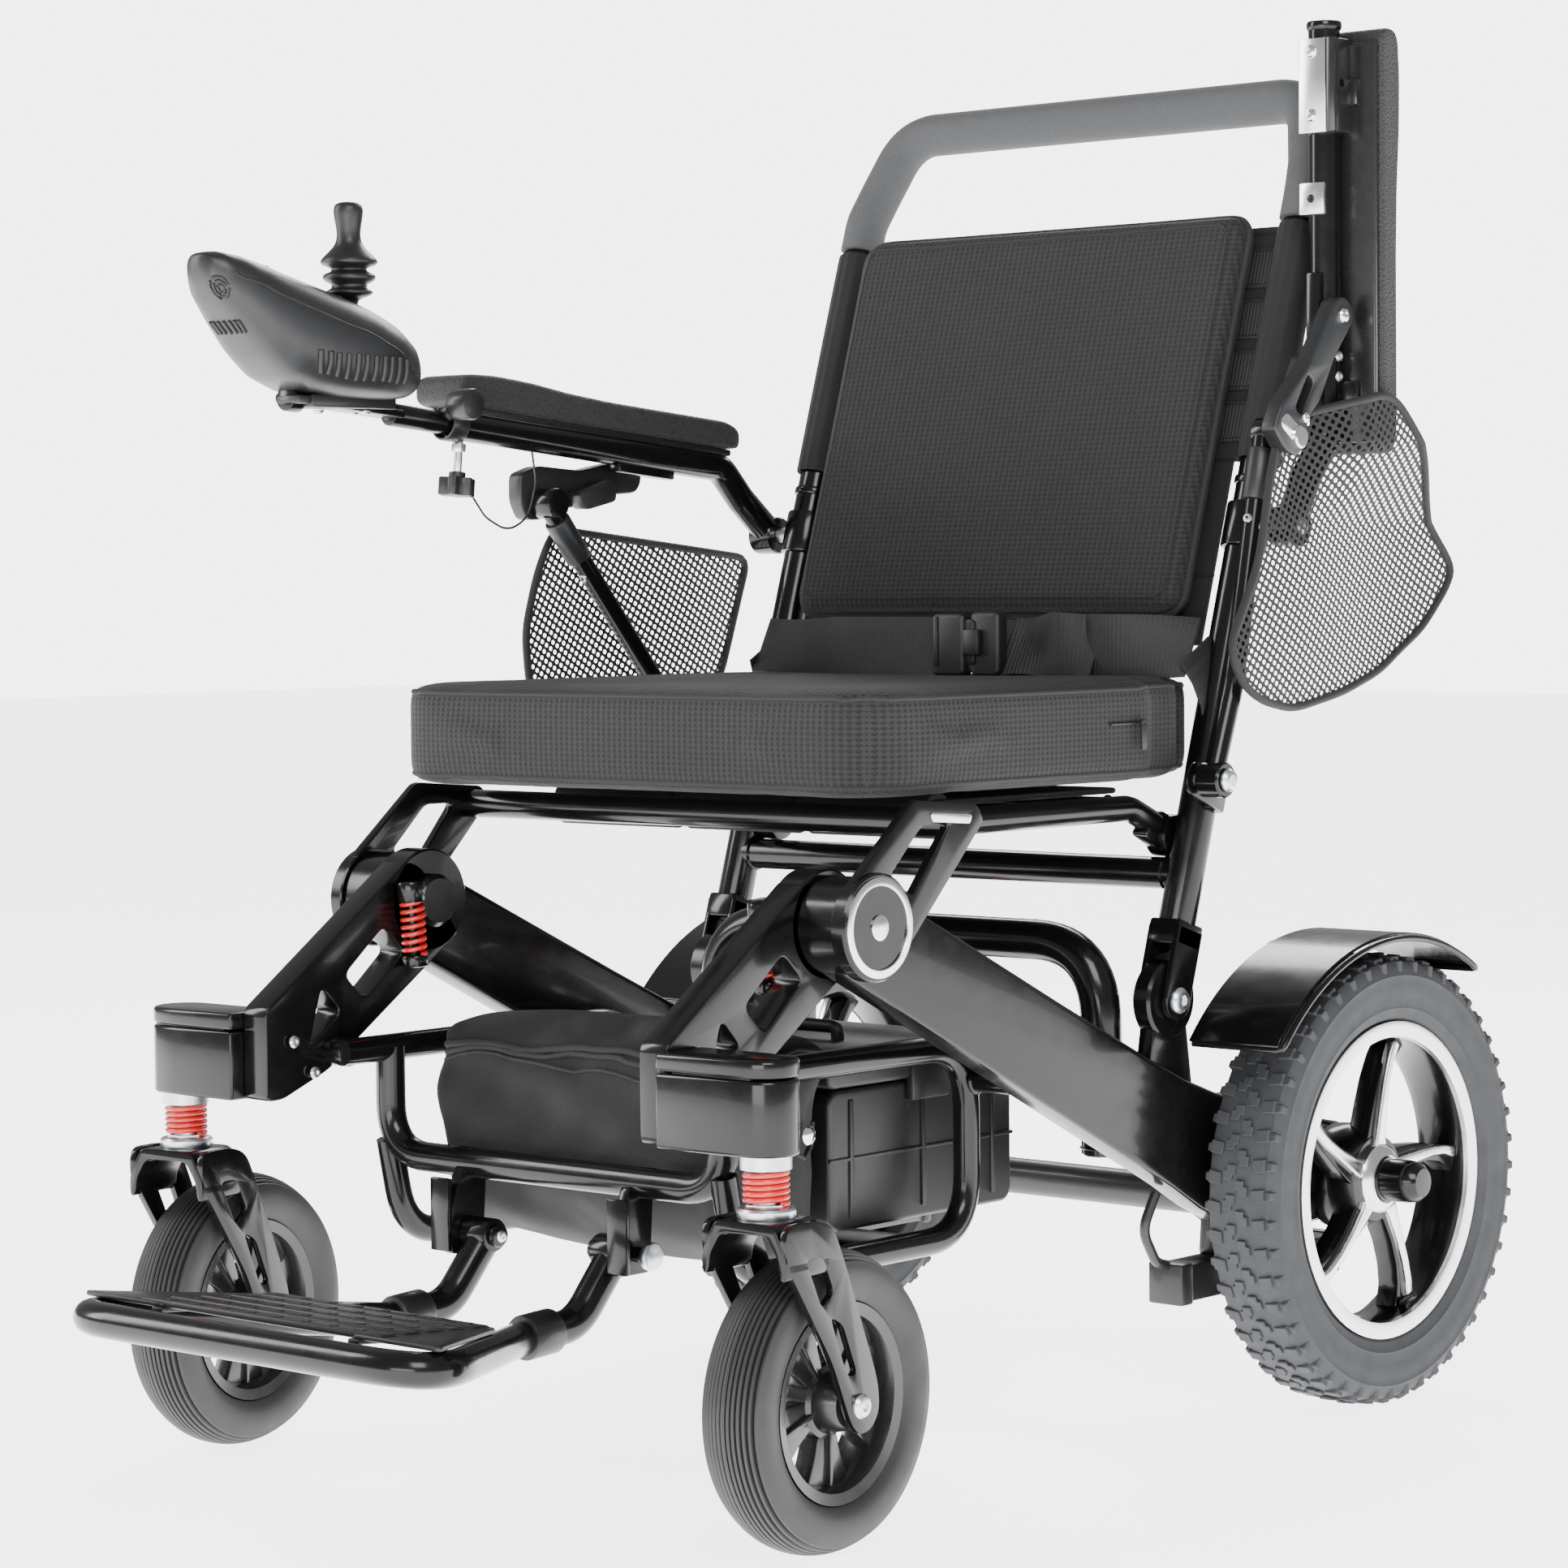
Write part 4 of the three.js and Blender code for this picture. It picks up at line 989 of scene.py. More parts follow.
# ------------------------------------------------------------------ chassis tubes and boxes
def both(corners):
    """A line from the left side carried on, mirrored, to the right."""
    return [*corners, *[(-x, y, z) for x, y, z in reversed(corners)]]


def bead(centre, axis, radius, wire=1.6):
    """The raised ring that a weld leaves round a tube."""
    ring = lathe([(radius - 1, -wire), (radius + wire, 0), (radius - 1, wire)], "z", steps=28)
    ring.data.transform(Matrix.Translation(centre) @ Vector(axis).to_track_quat("Z",
                                                                                "Y").to_matrix().to_4x4())
    return ring


def rear_arch():
    arch = pipe(both([(175, -205, 192), (175, -205, 335)]), 14, 55, 12, 7, 1)
    lugs = [sided(plate(softened([(-217, 194), (-193, 194), (-193, 236), (-217, 236)], 4), 176, 189, "x", 1),
                  way)
            for way in (1, -1)]
    hanger = plate(rounded(-30, 30, 330, 346, 4), -212, -198, "y", 1.2)
    caps = [rod((way * 175, -205, 190.4), (way * 175, -205, 193), 12.4, 0.8) for way in (1, -1)]
    welds = [bead((way * 175, -205, z), (0, 0, 1), 14) for way in (1, -1) for z in (196, 234)]
    done(joined(arch, *lugs, hanger, *caps, *welds), "rear_arch_finish", "chassis", "paint",
         replaces=("rear_arch",))
    hook = joined(rod((0, -205, 332), (0, -205, 300), 5.4), rod((0, -205, 303), (0, -205, 297), 8.6, 1.2))
    done(hook, "damper_rod_under_arch", "chassis", "zinc")
    done(spring((0, -205), 304, 329, 8.4, 1.7, 5.5), "damper_spring_under_arch", "chassis", "red", smooth=60)


def axle_beam():
    beam = pipe([(-189, -82, 148), (189, -82, 148)], 13, 1, 1, 7)
    parts = [beam]
    for way in (1, -1):
        parts += [sided(bar((177, -150, 84), (203, 36, 110), 2.4), way),
                  sided(bar((175.4, 32, 82.4), (204.6, 40, 111.6), 2), way),
                  sided(bar((175.4, -154, 82.4), (204.6, -140, 111.6), 2), way),
                  sided(plate(softened([(-98, 108), (-66, 108), (-70, 150), (-94, 150)], 6), 178, 188, "x",
                              1), way),
                  bead((way * 176, -82, 148), (1, 0, 0), 13)]
    done(joined(*parts), "axle_beam_finish", "chassis", "satin", replaces=("axle_beam",))
    for letter, _, way in SIDES:
        lead = [(way * 172, 18, 100), (way * 158, 34, 122), (way * 160, 20, 170), (way * 150, -30, 186)]
        done(pipe(lead, 3.4, 30, 8, 4), f"motor_lead_{letter}", "chassis", "plastic")
        conduit = [(way * 190, -146, 107), (way * 191, -166, 114), (way * 193, -184, 138),
                   (way * 196, -172, 163)]
        done(pipe(conduit, 3.6, 18, 8, 4), f"receiver_conduit_{letter}", "chassis", "satin")


def tray_frame():
    parts = []
    for way in (1, -1):
        x = way * TRAY_X
        parts.append(pipe([(x, -604, 275), (x, -321, 275), (x, -321, 148), (x, -548, 148), (x, -562, 214)], 9,
                          42,
                          10, 6, 0.8))
        parts.append(rod((x, -321, 252), (way * 189, -321, 252), 8))
        parts.append(bead((way * 160, -321, 252), (1, 0, 0), 8))
        lug = [(-582, 146), (-553, 146), (-549, 203), (-571, 203), (-582, 176)]
        parts.append(sided(plate(softened(lug, 4), 71, 79, "x", 1), way))
        parts.append(sided(bar((71, -585, 148), (88, -581, 196), 1), way))
        parts.append(sided(bar((136, -402, 141), (146, -334, 152), 1), way))
        parts.append(rod((way * 70, -561, 211), (way * 92, -561, 211), 3.4, 1.2))
    parts.append(pipe(both([(TRAY_X, -560, 276), (TRAY_X, -560, 204)]), 10, 55, 12, 6, 0.8))
    parts.append(bar((-140, -402, 141), (140, -334, 146), 1))
    parts += [rod((way * 168, -596, 275), (way * TRAY_X, -596, 275), 10, 1.2) for way in (1, -1)]
    done(joined(*parts), "tray_frame_finish", "chassis", "paint", replaces=("tray_frame",))
    caps = [rod((way * 89, -566, 159), (way * 95, -566, 159), 9, 1.6) for way in (1, -1)]
    done(joined(*caps), "footrest_pin_caps", "chassis", "zinc")


def battery_case():
    body = plate(rounded(-424, -232, 158, 251, 10), -118, 118, "x", 3, 3)
    lid = plate(rounded(-428, -228, 252.4, 272, 7), -122, 122, "x", 3.4, 3)
    second = bar((-104, -240, 176), (104, -223, 240), 3)
    ribs = [bar((117, y, 166), (119.6, y + 4, 244), 0.8) for y in (-404, -330, -256)]
    step = bar((117, -424, 204), (119.4, -232, 206.4), 0.6)
    clasp = bar((118, -346, 238), (125, -306, 262), 2)
    near = joined(*ribs, step, clasp)
    far = mirrored(near)
    handle = pipe([(-46, -330, 271), (-46, -330, 281), (46, -330, 281), (46, -330, 271)], 4.6, 10, 6, 5)
    done(joined(body, lid, second, near, far, handle), "battery_case_finish", "chassis", "plastic",
         replaces=("battery_case",))


def motor(side, sign):
    centre = (0, 0, AXLE_Z)
    ribs = [(45, 124)]
    for i in range(9):
        a = 127 + i * 5
        ribs += [(45, a), (43.4, a + 0.8), (43.4, a + 2.2), (45, a + 3)]
    body = lathe([(0, 96), (24, 96), (26, 98), (26, 111), (31, 112.5), (41, 117), *ribs, (45, 175), (38, 186),
                  (38, 189), (0, 189)], "x", centre, 56, closed=False)
    shaft = rod((185, 0, AXLE_Z), (222, 0, AXLE_Z), 10.4)
    box = bar((128, -22, AXLE_Z + 38), (168, 22, AXLE_Z + 52), 3)
    done(sided(joined(body, shaft, box), sign), f"drive_motor_{side}_finish", "chassis", "satin",
         replaces=(f"drive_motor_{side}",))


def freewheel_lever(letter, side, sign):
    arm = [(-26, 160), (-10, 170), (-18, 180), (-94, 246), (-104, 253), (-111, 245), (-104, 236)]
    piece = joined(plate(softened(arm, 5), 87, 92, "x", 1.2), rod((84.2, -18, 167), (95, -18, 167), 9, 1.4),
                   plate(softened([(-92, 236), (-104, 253), (-112, 246), (-100, 230)], 4), 84.5, 94.5, "x",
                         2))
    done(sided(piece, sign), f"freewheel_lever_{side}_finish", f"freewheel_lever_{letter}", "red",
         replaces=(f"freewheel_lever_{side}",))


rear_arch()
axle_beam()
tray_frame()
battery_case()
for letter, side, sign in SIDES:
    motor(side, sign)
    freewheel_lever(letter, side, sign)


# ------------------------------------------------------------------ footrest
def footrest():
    x, y, z = 58, -566, 159
    corners = both([(x, y, z - 4), (x, y - 34, 117), (x, -652, 114.5), (172, -832, 132)])
    parts = [pipe(corners, 11, 34, 12, 7)]
    for way in (1, -1):
        parts += [rod((way * 47, y, z), (way * 70.4, y, z), 11, 1.2),
                  rod((way * 42, y, z), (way * 47, y, z), 7.5, 1.6),
                  rod((way * 50, y, z), (way * 87, y, z), 5, 0.4)]
    done(joined(*parts), "footrest_frame_finish", "footrest", "paint", replaces=("footrest_frame",))
    sleeves = [rod((way * x, -622, 116.2), (way * x, -648, 114.8), 14.4, 1.4) for way in (1, -1)]
    done(joined(*sleeves), "footrest_collars", "footrest", "satin")
    heads = [bolt((way * 42, y, z), (-way, 0, 0), 4, 2.6) for way in (1, -1)]
    done(joined(*heads), "footrest_eye_bolts", "footrest", "zinc", smooth=30)


def footplate():
    slats = []
    for i in range(5):
        low, high = -77 - 22 * i, -63 - 22 * i
        slats.append(bar((-96 - 3 * i, low, 11.4), (96 + 3 * i, high, 16), 1.4))
        middle = (low + high) / 2
        slats += [rod((u, middle, 15.6), (u, middle, 16.6), 3.2, 0.3, 14) for u in range(-84, 85, 24)]
    ends = [sided(plate(softened([(98, -59), (84, -59), (84, -167), (160, -167)], 6), 11.4, 14.6, "z", 1),
                  way)
            for way in (1, -1)]
    rails = [bar((u - 5, -168, 8.5), (u + 5, -58, 11.6), 0.8) for u in (-88, 88)]
    done(joined(*slats, *ends, *rails), "footplate_finish", "footrest", "plastic", FOOTPLATE, ("footplate",))


footrest()
footplate()


# ------------------------------------------------------------------ seat frame
def seat_frame():
    parts = []
    for way in (1, -1):
        rail = [(way * 180, -152, 414), (way * 180, -180, 426), (way * 180, -380, 426)]
        parts += [pipe(rail, 9, 30, 8, 6, 0.6),
                  rod((way * 172, -136, 405), (way * 189.4, -136, 405), 15, 1.4)]
        ear = [(-170, 408), (-140, 393), (-124, 412), (-150, 424)]
        parts.append(sided(plate(softened(ear, 5), 174, 186, "x", 1), way))
    parts += [pipe([(-180, y, 426), (180, y, 426)], 8, 1, 1, 6) for y in (-190, -285, -372)]
    parts += [bead((way * 170, y, 426), (1, 0, 0), 8) for way in (1, -1) for y in (-190, -285)]
    done(joined(*parts), "seat_frame_finish", "seat", "paint", replaces=("seat_frame",))
    bolts("seat_pivot_bolts", "seat", [(way * 171.4, -136, 405) for way in (1, -1)], (-1, 0, 0), 7, 4)


def seat_sling():
    """Nylon stretched between the seat rails, hemmed round the front bar."""
    parts = [plate(rounded(-172, 172, -378, -178, 8), 436, 440, "z", 1.4)]
    for x0, x1 in ((-168, -58), (-48, 52), (62, 168)):
        wrap = rod((x0, -372, 426), (x1, -372, 426), 11.4, 1.6, 32)
        for vertex in wrap.data.vertices:
            if vertex.co.z > 428:
                vertex.co.z += 7
                vertex.co.y += 4 if vertex.co.y > -372 else 0
        parts.append(wrap)
    done(joined(*parts), "seat_sling", "seat", "nylon", cloth=True)


seat_frame()
seat_sling()


# ------------------------------------------------------------------ soft goods
def stuffed(piece, voxel=5.0, cap=8.0, pressure=4.0, relax=6):
    """Fills a closed form as wadding fills a cover, no point moving further than cap millimetres."""
    piece.data.transform(TO_METRES)
    skin = piece.modifiers.new("skin", "REMESH")
    skin.mode, skin.voxel_size = "VOXEL", voxel * 0.001
    apply_modifiers(piece)
    ease = piece.modifiers.new("ease", "SMOOTH")
    ease.factor, ease.iterations = 0.5, relax
    apply_modifiers(piece)
    before = [v.co.copy() for v in piece.data.vertices]
    swell = piece.modifiers.new("swell", "CLOTH")
    swell.settings.use_pressure = True
    swell.settings.uniform_pressure_force = pressure
    swell.settings.effector_weights.gravity = 0
    swell.settings.quality = 4
    swell.collision_settings.use_collision = False
    for i in range(1, 21):
        bpy.context.scene.frame_set(i)
    apply_modifiers(piece)
    bpy.context.scene.frame_set(1)
    limit = cap * 0.001
    for vertex, start in zip(piece.data.vertices, before):
        moved = vertex.co - start
        if moved.length > limit:
            vertex.co = start + moved.normalized() * limit
    piece.data.transform(Matrix.Scale(1000, 4))
    return piece


def finer(piece, levels=1):
    round_off = piece.modifiers.new("round", "SUBSURF")
    round_off.levels = round_off.render_levels = levels
    return apply_modifiers(piece)


def snapped(piece, points, lift=0.2):
    """Points laid on the nearest place of a piece's skin."""
    stops = []
    for point in points:
        _, place, normal, _ = piece.closest_point_on_mesh(Vector(point))
        stop = place + normal * lift
        if not stops or (stop - Vector(stops[-1])).length > 0.3:
            stops.append(tuple(stop))
    return stops


def along_outline(points, every=9.0):
    stops = []
    for a, b in zip(points, [*points[1:], points[0]]):
        a, b = Vector(a), Vector(b)
        count = max(1, int((b - a).length / every))
        stops += [tuple(a.lerp(b, i / count)) for i in range(count)]
    return [*stops, stops[0]]


def seat_cushion():
    half, r, front = 219.5, 42, -498.5
    outline = [(-half, -204), *arc(-half + r, front + r, r, 180, 270, 8),
               *arc(half - r, front + r, r, 270, 360, 8),
               (half, -204), (208, -191), (208, -154), (187, -144), (187, -113.5), (-187, -113.5),
               (-187, -144),
               (-208, -154), (-208, -191)]
    cushion = stuffed(plate(outline, 448.5, 513.4, "z", 8, 3), 5.0, 2.4, 3.0, 3)
    edges = []
    for z in (512, 450):
        ring = along_outline([(x, y, z) for x, y in outline], 10)
        edges.append(pipe(snapped(cushion, ring, -0.4), 1.7, 1, 1, 3))
    zipped = copied(cushion)
    cushion = finer(cushion)
    done(cushion, "seat_cushion_cover", "seat", "mesh", replaces=("seat_cushion",), smooth=70, cloth=True)
    squash_seat(cushion)
    track = pipe(snapped(zipped, [(230, y, 486) for y in range(-250, -207, 6)], 0.3), 1.3, 1, 1, 3)
    tag = joined(bar((221.5, -222, 468), (223.6, -216, 486), 0.9),
                 rod((220.4, -219, 486), (223, -219, 486), 3, 0.6))
    bpy.data.objects.remove(zipped)
    squash_seat(done(joined(track, tag), "seat_cushion_zip", "seat", "plastic"))
    trim = done(joined(*edges), "seat_cushion_piping", "seat", "tape", smooth=60, cloth=True)
    squash_seat(trim)


def squash_seat(piece):
    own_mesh(piece)


seat_cushion()


def back_pad():
    outline = rounded(-177, 177, 265, 561.5, 16, 6)
    pad = stuffed(plate(outline, -31, -7.2, "y", 7, 3), 4.4, 2.4, 3.0, 3)
    ring = along_outline([(x, -20, z) for x, z in outline], 9)
    piping = pipe(snapped(pad, ring, 0.3), 2.6, 1, 1, 4)
    inner = along_outline([(x, -36, z) for x, z in rounded(-166, 166, 276, 551, 10, 6)], 9)
    stitch = pipe(snapped(pad, inner, 0.0), 0.9, 1, 1, 3)
    pad = finer(pad)
    done(pad, "back_pad_cover", "back", "mesh", BACK, ("back_pad",), 70, cloth=True)
    squash_back(pad)
    squash_back(done(joined(piping, stitch), "back_pad_piping", "back", "tape", BACK, smooth=60, cloth=True))


def squash_back(piece):
    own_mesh(piece)


back_pad()


def back_sling():
    """Nylon between the posts: a sleeve round each, a panel, and rows of stitched straps."""
    parts = []
    for way in (1, -1):
        sleeve = lathe([(14.2, 386), (15.8, 384), (15.9, 470), (15.6, 556), (14.6, 558.6), (13.8, 557),
                        (13.8, 388)],
                       "z", (way * POST_X, 0, 0), 40)
        for vertex in sleeve.data.vertices:
            vertex.co.y += 0.7 * math.sin(vertex.co.z * 0.11) * math.sin(vertex.co.z * 0.037 + vertex.co.x)
        parts.append(sleeve)
    panel = plate([(-200, 384), (200, 384), (200, 558), (-200, 558)], -4.4, -2.2, "y", 0)
    lower = plate([(-184, 250), (184, 250), (184, 386), (-184, 386)], -4.4, -2.2, "y", 0)
    straps = []
    for low in (398, 436, 474, 512):
        straps.append(plate(rounded(-190, 190, low, low + 30, 2), -6.0, -4.6, "y", 0.4))
        straps += [seam([(-188, -6.2, z), (188, -6.2, z)], 0.5) for z in (low + 2.5, low + 27.5)]
    hems = [seam([(-186, -4.9, z), (186, -4.9, z)], 0.6) for z in (553, 300)]
    done(joined(*parts, panel, lower), "back_sling_cloth", "back", "nylon", BACK, ("back_sling",), 50,
         cloth=True)
    done(joined(*straps, *hems), "back_sling_straps", "back", "webbing", BACK, smooth=50, cloth=True)


back_sling()


# ------------------------------------------------------------------ back frame and grip
def back_local(y, z):
    """A place beside the chair, given in the leaning frame of the back's posts."""
    dy, dz, t = y - POST_FOOT[0], z - POST_FOOT[1], math.radians(BACK_LEAN)
    return dy * math.cos(t) - dz * math.sin(t), dy * math.sin(t) + dz * math.cos(t)


def back_frame():
    strut_y, strut_z = back_local(*STRUT_FOOT)
    arm_y, arm_z = back_local(*ARM_PIVOT)
    parts, metal = [], []
    for way in (1, -1):
        parts.append(rod((way * POST_X, 0, 44), (way * POST_X, 0, 562), 13, 0.8, 36))
        for a, b in ((190, 194.8), (211.2, 216)):
            ear = [*arc(0, 0, 14, 180, 360, 12), (14, 50), (-14, 50)]
            parts.append(sided(plate(ear, a, b, "x", 1), way))
        parts.append(sided(bar((190, -14, 36), (216, 14, 54), 2), way))
        boss = plate(softened([(-9, strut_z - 14), (4, strut_z - 14), (4, strut_z + 14), (-9, strut_z + 14)],
                              3),
                     207, 223, "x", 1)
        lug = plate([*arc(strut_y, strut_z, 12, 90, 270, 12), (0, strut_z - 14), (0, strut_z + 14)], 222.6,
                    225.6,
                    "x", 0.8)
        parts += [sided(boss, way), sided(lug, way)]
        parts.append(rod((way * POST_X, 0, arm_z - 16), (way * POST_X, 0, arm_z + 16), 16.4, 1.4, 36))
        parts.append(rod((way * POST_X, 0, 366), (way * POST_X, 0, 372), 14.6, 1.4, 36))
        metal.append(rod((way * 223, strut_y, strut_z), (way * 250, strut_y, strut_z), 5, 0.6))
        metal.append(bolt((way * 250, strut_y, strut_z), (way, 0, 0), 8, 4.5))
        metal.append(rod((way * 212, arm_y, arm_z), (way * 251, arm_y, arm_z), 6, 0.6))
        metal.append(rod((way * 191, 0, 0), (way * 215, 0, 0), 6, 0.4))
        metal.append(bolt((way * 216, 0, 0), (way, 0, 0), 9, 4.4))
        metal.append(bolt((way * 190, 0, 0), (-way, 0, 0), 9, 4.0))
    parts.append(pipe([(-POST_X, 0, 88), (POST_X, 0, 88)], 11, 1, 1, 7))
    parts += [bead((way * 189, 0, 88), (1, 0, 0), 11) for way in (1, -1)]
    done(joined(*parts), "back_frame_finish", "back", "paint", BACK, ("back_frame",))
    done(joined(*metal), "back_frame_bolts", "back", "zinc", BACK, smooth=30)
    grip = [(POST_X, 0, 562.6), (POST_X, 0, 586), (199, 4, 608), (184, 10, 660)]
    foam = pipe(both(grip), 16, 55, 14, 9, 2)
    done(foam, "handle_grip_foam", "back", "foam", BACK, ("handle_grip",), 60)


back_frame()


# ------------------------------------------------------------------ lap belt
def ribbon(centre, ups, width, thick=1.6):
    """A flat strap along centre, its width turned along ups."""
    stops = [Vector(c) for c in centre]
    ups = [Vector(u).normalized() for u in ups]
    select_none()
    bpy.ops.mesh.primitive_grid_add(x_subdivisions=len(stops) - 1, y_subdivisions=4, size=1)
    strap = active()
    rows = sorted({round(v.co.x, 5) for v in strap.data.vertices})
    for vertex in strap.data.vertices:
        i, share = rows.index(round(vertex.co.x, 5)), vertex.co.y
        vertex.co = stops[i] + ups[i] * width * share
    total = sum((b - a).length for a, b in zip(stops, stops[1:]))
    for loop in strap.data.uv_layers.active.data:
        loop.uv = (loop.uv[0] * total * 0.001, loop.uv[1] * width * 0.001)
    wall = strap.modifiers.new("wall", "SOLIDIFY")
    wall.thickness, wall.offset = thick, 0
    apply_modifiers(strap)
    return outward(rounded_off(strap, thick * 0.3, 2, 60))


def lap_belt():
    def strap(x0, x1, bow, swell, count=34):
        centre, ups = [], []
        for i in range(count + 1):
            t = i / count
            x = x0 + (x1 - x0) * t
            y = 184 - math.sqrt(370**2 - x * x)
            ripple = swell * math.sin(t * math.pi * 2.2) + 0.4 * swell * math.sin(t * math.pi * 5.1 + 1)
            centre.append((x, y + ripple * 0.5 + 3 * math.sin(t * 7), 534.6 + bow * math.sin(t * math.pi)))
            ups.append((0.0, 0.3 + 0.3 * math.sin(t * 6.2 + 0.8), 1.0))
        return ribbon(centre, ups, 45, 1.7)
    left = strap(-197, 40, -0.6, 5)
    right = strap(66, 197, 1.2, 4)
    tail = strap(78, 140, 2.0, 2, 16)
    tail.data.transform(Matrix.Translation((0, -3.4, 0.5)))
    end = [(197, -126, 533), (201, -117, 519), (203, -110, 503), (202.5, -106, 488)]
    drop = ribbon(fillet(end, 10, 4), [(0, 0.9, 0.5)] * 13, 38, 1.7)
    other = mirrored(drop)
    belt = joined(left, right, tail, drop, other)
    done(belt, "lap_belt_webbing", "back", "webbing", replaces=("lap_belt",), smooth=60)
    squash_seat(belt)
    parts = [plate(rounded(24, 52, 515.4, 559, 4), -201, -189, "y", 2.4, 3),
             plate(rounded(55, 80, 515.4, 560, 4), -197, -185.6, "y", 2.2, 3),
             plate(rounded(46, 60, 523, 555, 3), -198.6, -188.5, "y", 1.6, 2),
             bar((52, -202.2, 530), (66, -197.5, 548), 1.4), bar((26, -202, 522), (30, -199.4, 557), 0.7)]
    buckle = joined(*parts)
    buckle.data.transform(Matrix.Translation((0, 1.8, 0)))
    done(buckle, "belt_buckle_finish", "back", "plastic", replaces=("belt_buckle",))
    squash_seat(buckle)


lap_belt()


# ------------------------------------------------------------------ armrests
def armrest_tube(letter, side, sign):
    x = ARMREST_X
    local = ARM[letter]["rest"]
    parts = [pipe([(x, -8, 6), (x, -36, 24), (x, -62, 46), (x, -347, 46)], 11, 26, 10, 7, 0.8),
             lathe([(6.8, 227.6), (13, 227.6), (14, 228.6), (14, 247.5), (13, 248.5), (6.8, 248.5)], "x",
                   steps=44),
             bar((232.5, -176, 30), (243.5, -116, 40), 1.6)]
    holds_controller = letter == "r"
    if not holds_controller:
        parts.append(rod((x, -343, 46), (x, -350, 46), 12.2, 2.2, 36))
    tube = joined(*parts)
    if holds_controller:
        bore = rod((x, -284, 46), (x, -360, 46), 8.7, 0)
        screw_hole = rod((x, -335, 20), (x, -335, 46), 3.6, 0)
        tube = carved(tube, bore, screw_hole)
    done(sided(tube, sign), f"armrest_tube_{side}_finish", f"armrest_{letter}", "paint", local,
         (f"armrest_tube_{side}",))
    base = plate(softened([(-58, 54), (-58, 59), (-334, 59), (-334, 54)], 2), 230, 274, "x", 1)
    gussets = [bar((x, y - 9, 50), (262, y + 9, 56), 1) for y in (-92, -300)]
    done(sided(joined(base, *gussets), sign), f"armrest_base_{side}", f"armrest_{letter}", "polished", local)
    heads = [bolt((249, y, 46), (1, 0, 0), 3.8, 2.4) for y in (-104, -118)]
    done(sided(joined(*heads), sign), f"armrest_bolts_{side}", f"armrest_{letter}", "zinc", local, smooth=30)


def armrest_pad(letter, side, sign):
    local = ARM[letter]["rest"]
    outline = [(-50, 61), (-58, 59.4), (-336, 59.4), (-344, 63), (-344.6, 76), (-338, 82), (-310, 84),
               (-275, 83.4),
               (-235, 80.6), (-190, 79.4), (-120, 79.6), (-66, 79.8), (-50.5, 75)]
    pad = plate(softened(outline, 7, 5), 227.6, 276.6, "x", 5, 4)
    pad = sided(finer(pad), sign)
    done(pad, f"armrest_pad_{side}_finish", f"armrest_{letter}", "pad", local, (f"armrest_pad_{side}",), 60)


def armrest_bracket(letter, side, sign):
    local = ARM[letter]["bracket"]
    outline = [(0, 13), *arc(0, 0, 13, 80, -80, 8), (-30, -8), (-66, -10), (-84, -4), (-96, -12), (-112, -9),
               (-116.5, 6), (-112, 25), (-92, 27), (-50, 15)]
    cheek = carved(plate(softened(outline, 5, 3), 251, 264, "x", 0),
                   plate(rounded(-86, -58, 3, 12, 3), 255, 268, "x", 0))
    cheek = rounded_off(cheek, 1.8, 3)
    block = plate(softened([(-30, -2), (-32, -12), (-64, -12), (-70, 2), (-36, 5)], 4), 237, 251, "x", 1.4)
    done(sided(joined(cheek, block), sign), f"armrest_bracket_{side}_finish", f"bracket_{letter}", "grey",
         local,
         (f"armrest_bracket_{side}",))
    slot = plate(rounded(-107, -95, -6, 22, 5.9), 263.6, 264.8, "x", 0.4)
    button = lathe([(0, 263), (7.8, 263), (7.8, 266.6), (6.6, 267.6), (0, 267.8)], "x", (0, -101, -1), 36,
                   closed=False)
    heads = [bolt((263.8, 0, 0), (1, 0, 0), 5.4, 3), bolt((263.8, -85, -1), (1, 0, 0), 3.6, 2.2)]
    done(sided(joined(slot, button, *heads), sign), f"bracket_button_{side}", f"bracket_{letter}", "chrome",
         local,
         smooth=30)


def armrest_strut(letter, side, sign):
    x = ARMREST_X
    local = ARM[letter]["strut"]
    bar_path = pipe([(x, 0, 6), (x, 6, 70), (x, -4, STRUT_LENGTH - 4)], 7.5, 120, 16, 6)
    ends = [lathe([(5.8, 230.7), (11, 230.7), (12, 231.7), (12, 248), (11, 249), (5.8, 249)], "x", steps=40),
            rod((231, 0, STRUT_LENGTH), (249, 0, STRUT_LENGTH), 11, 1)]
    done(sided(joined(bar_path, *ends), sign), f"armrest_strut_{side}_finish", f"strut_{letter}", "paint",
         local,
         (f"armrest_strut_{side}",))
    collar = rod((x, -2.2, STRUT_LENGTH - 48), (x, -3.6, STRUT_LENGTH - 12), 9.6, 1.2, 32)
    done(sided(collar, sign), f"strut_collar_{side}", f"strut_{letter}", "grey", local)
    pins = [bolt((245, 1, STRUT_LENGTH - 66), (1, 0, 0), 4, 2.6),
            bolt((x, -6.5, STRUT_LENGTH - 62), (0, -1, 0), 3.6, 2.4)]
    done(sided(joined(*pins), sign), f"strut_pins_{side}", f"strut_{letter}", "zinc", local, smooth=30)


def inside(y, z, outline):
    """Whether a point is in a closed outline, by counting how often a line from it crosses the outline."""
    odd = False
    for (y0, z0), (y1, z1) in zip(outline, [*outline[1:], outline[0]]):
        if (z0 > z) != (z1 > z) and y < (y1 - y0) * (z - z0) / (z1 - z0) + y0:
            odd = not odd
    return odd


def area_of(outline):
    pairs = zip(outline, [*outline[1:], outline[0]])
    return abs(sum(a * d - b * c for (a, b), (c, d) in pairs)) / 2


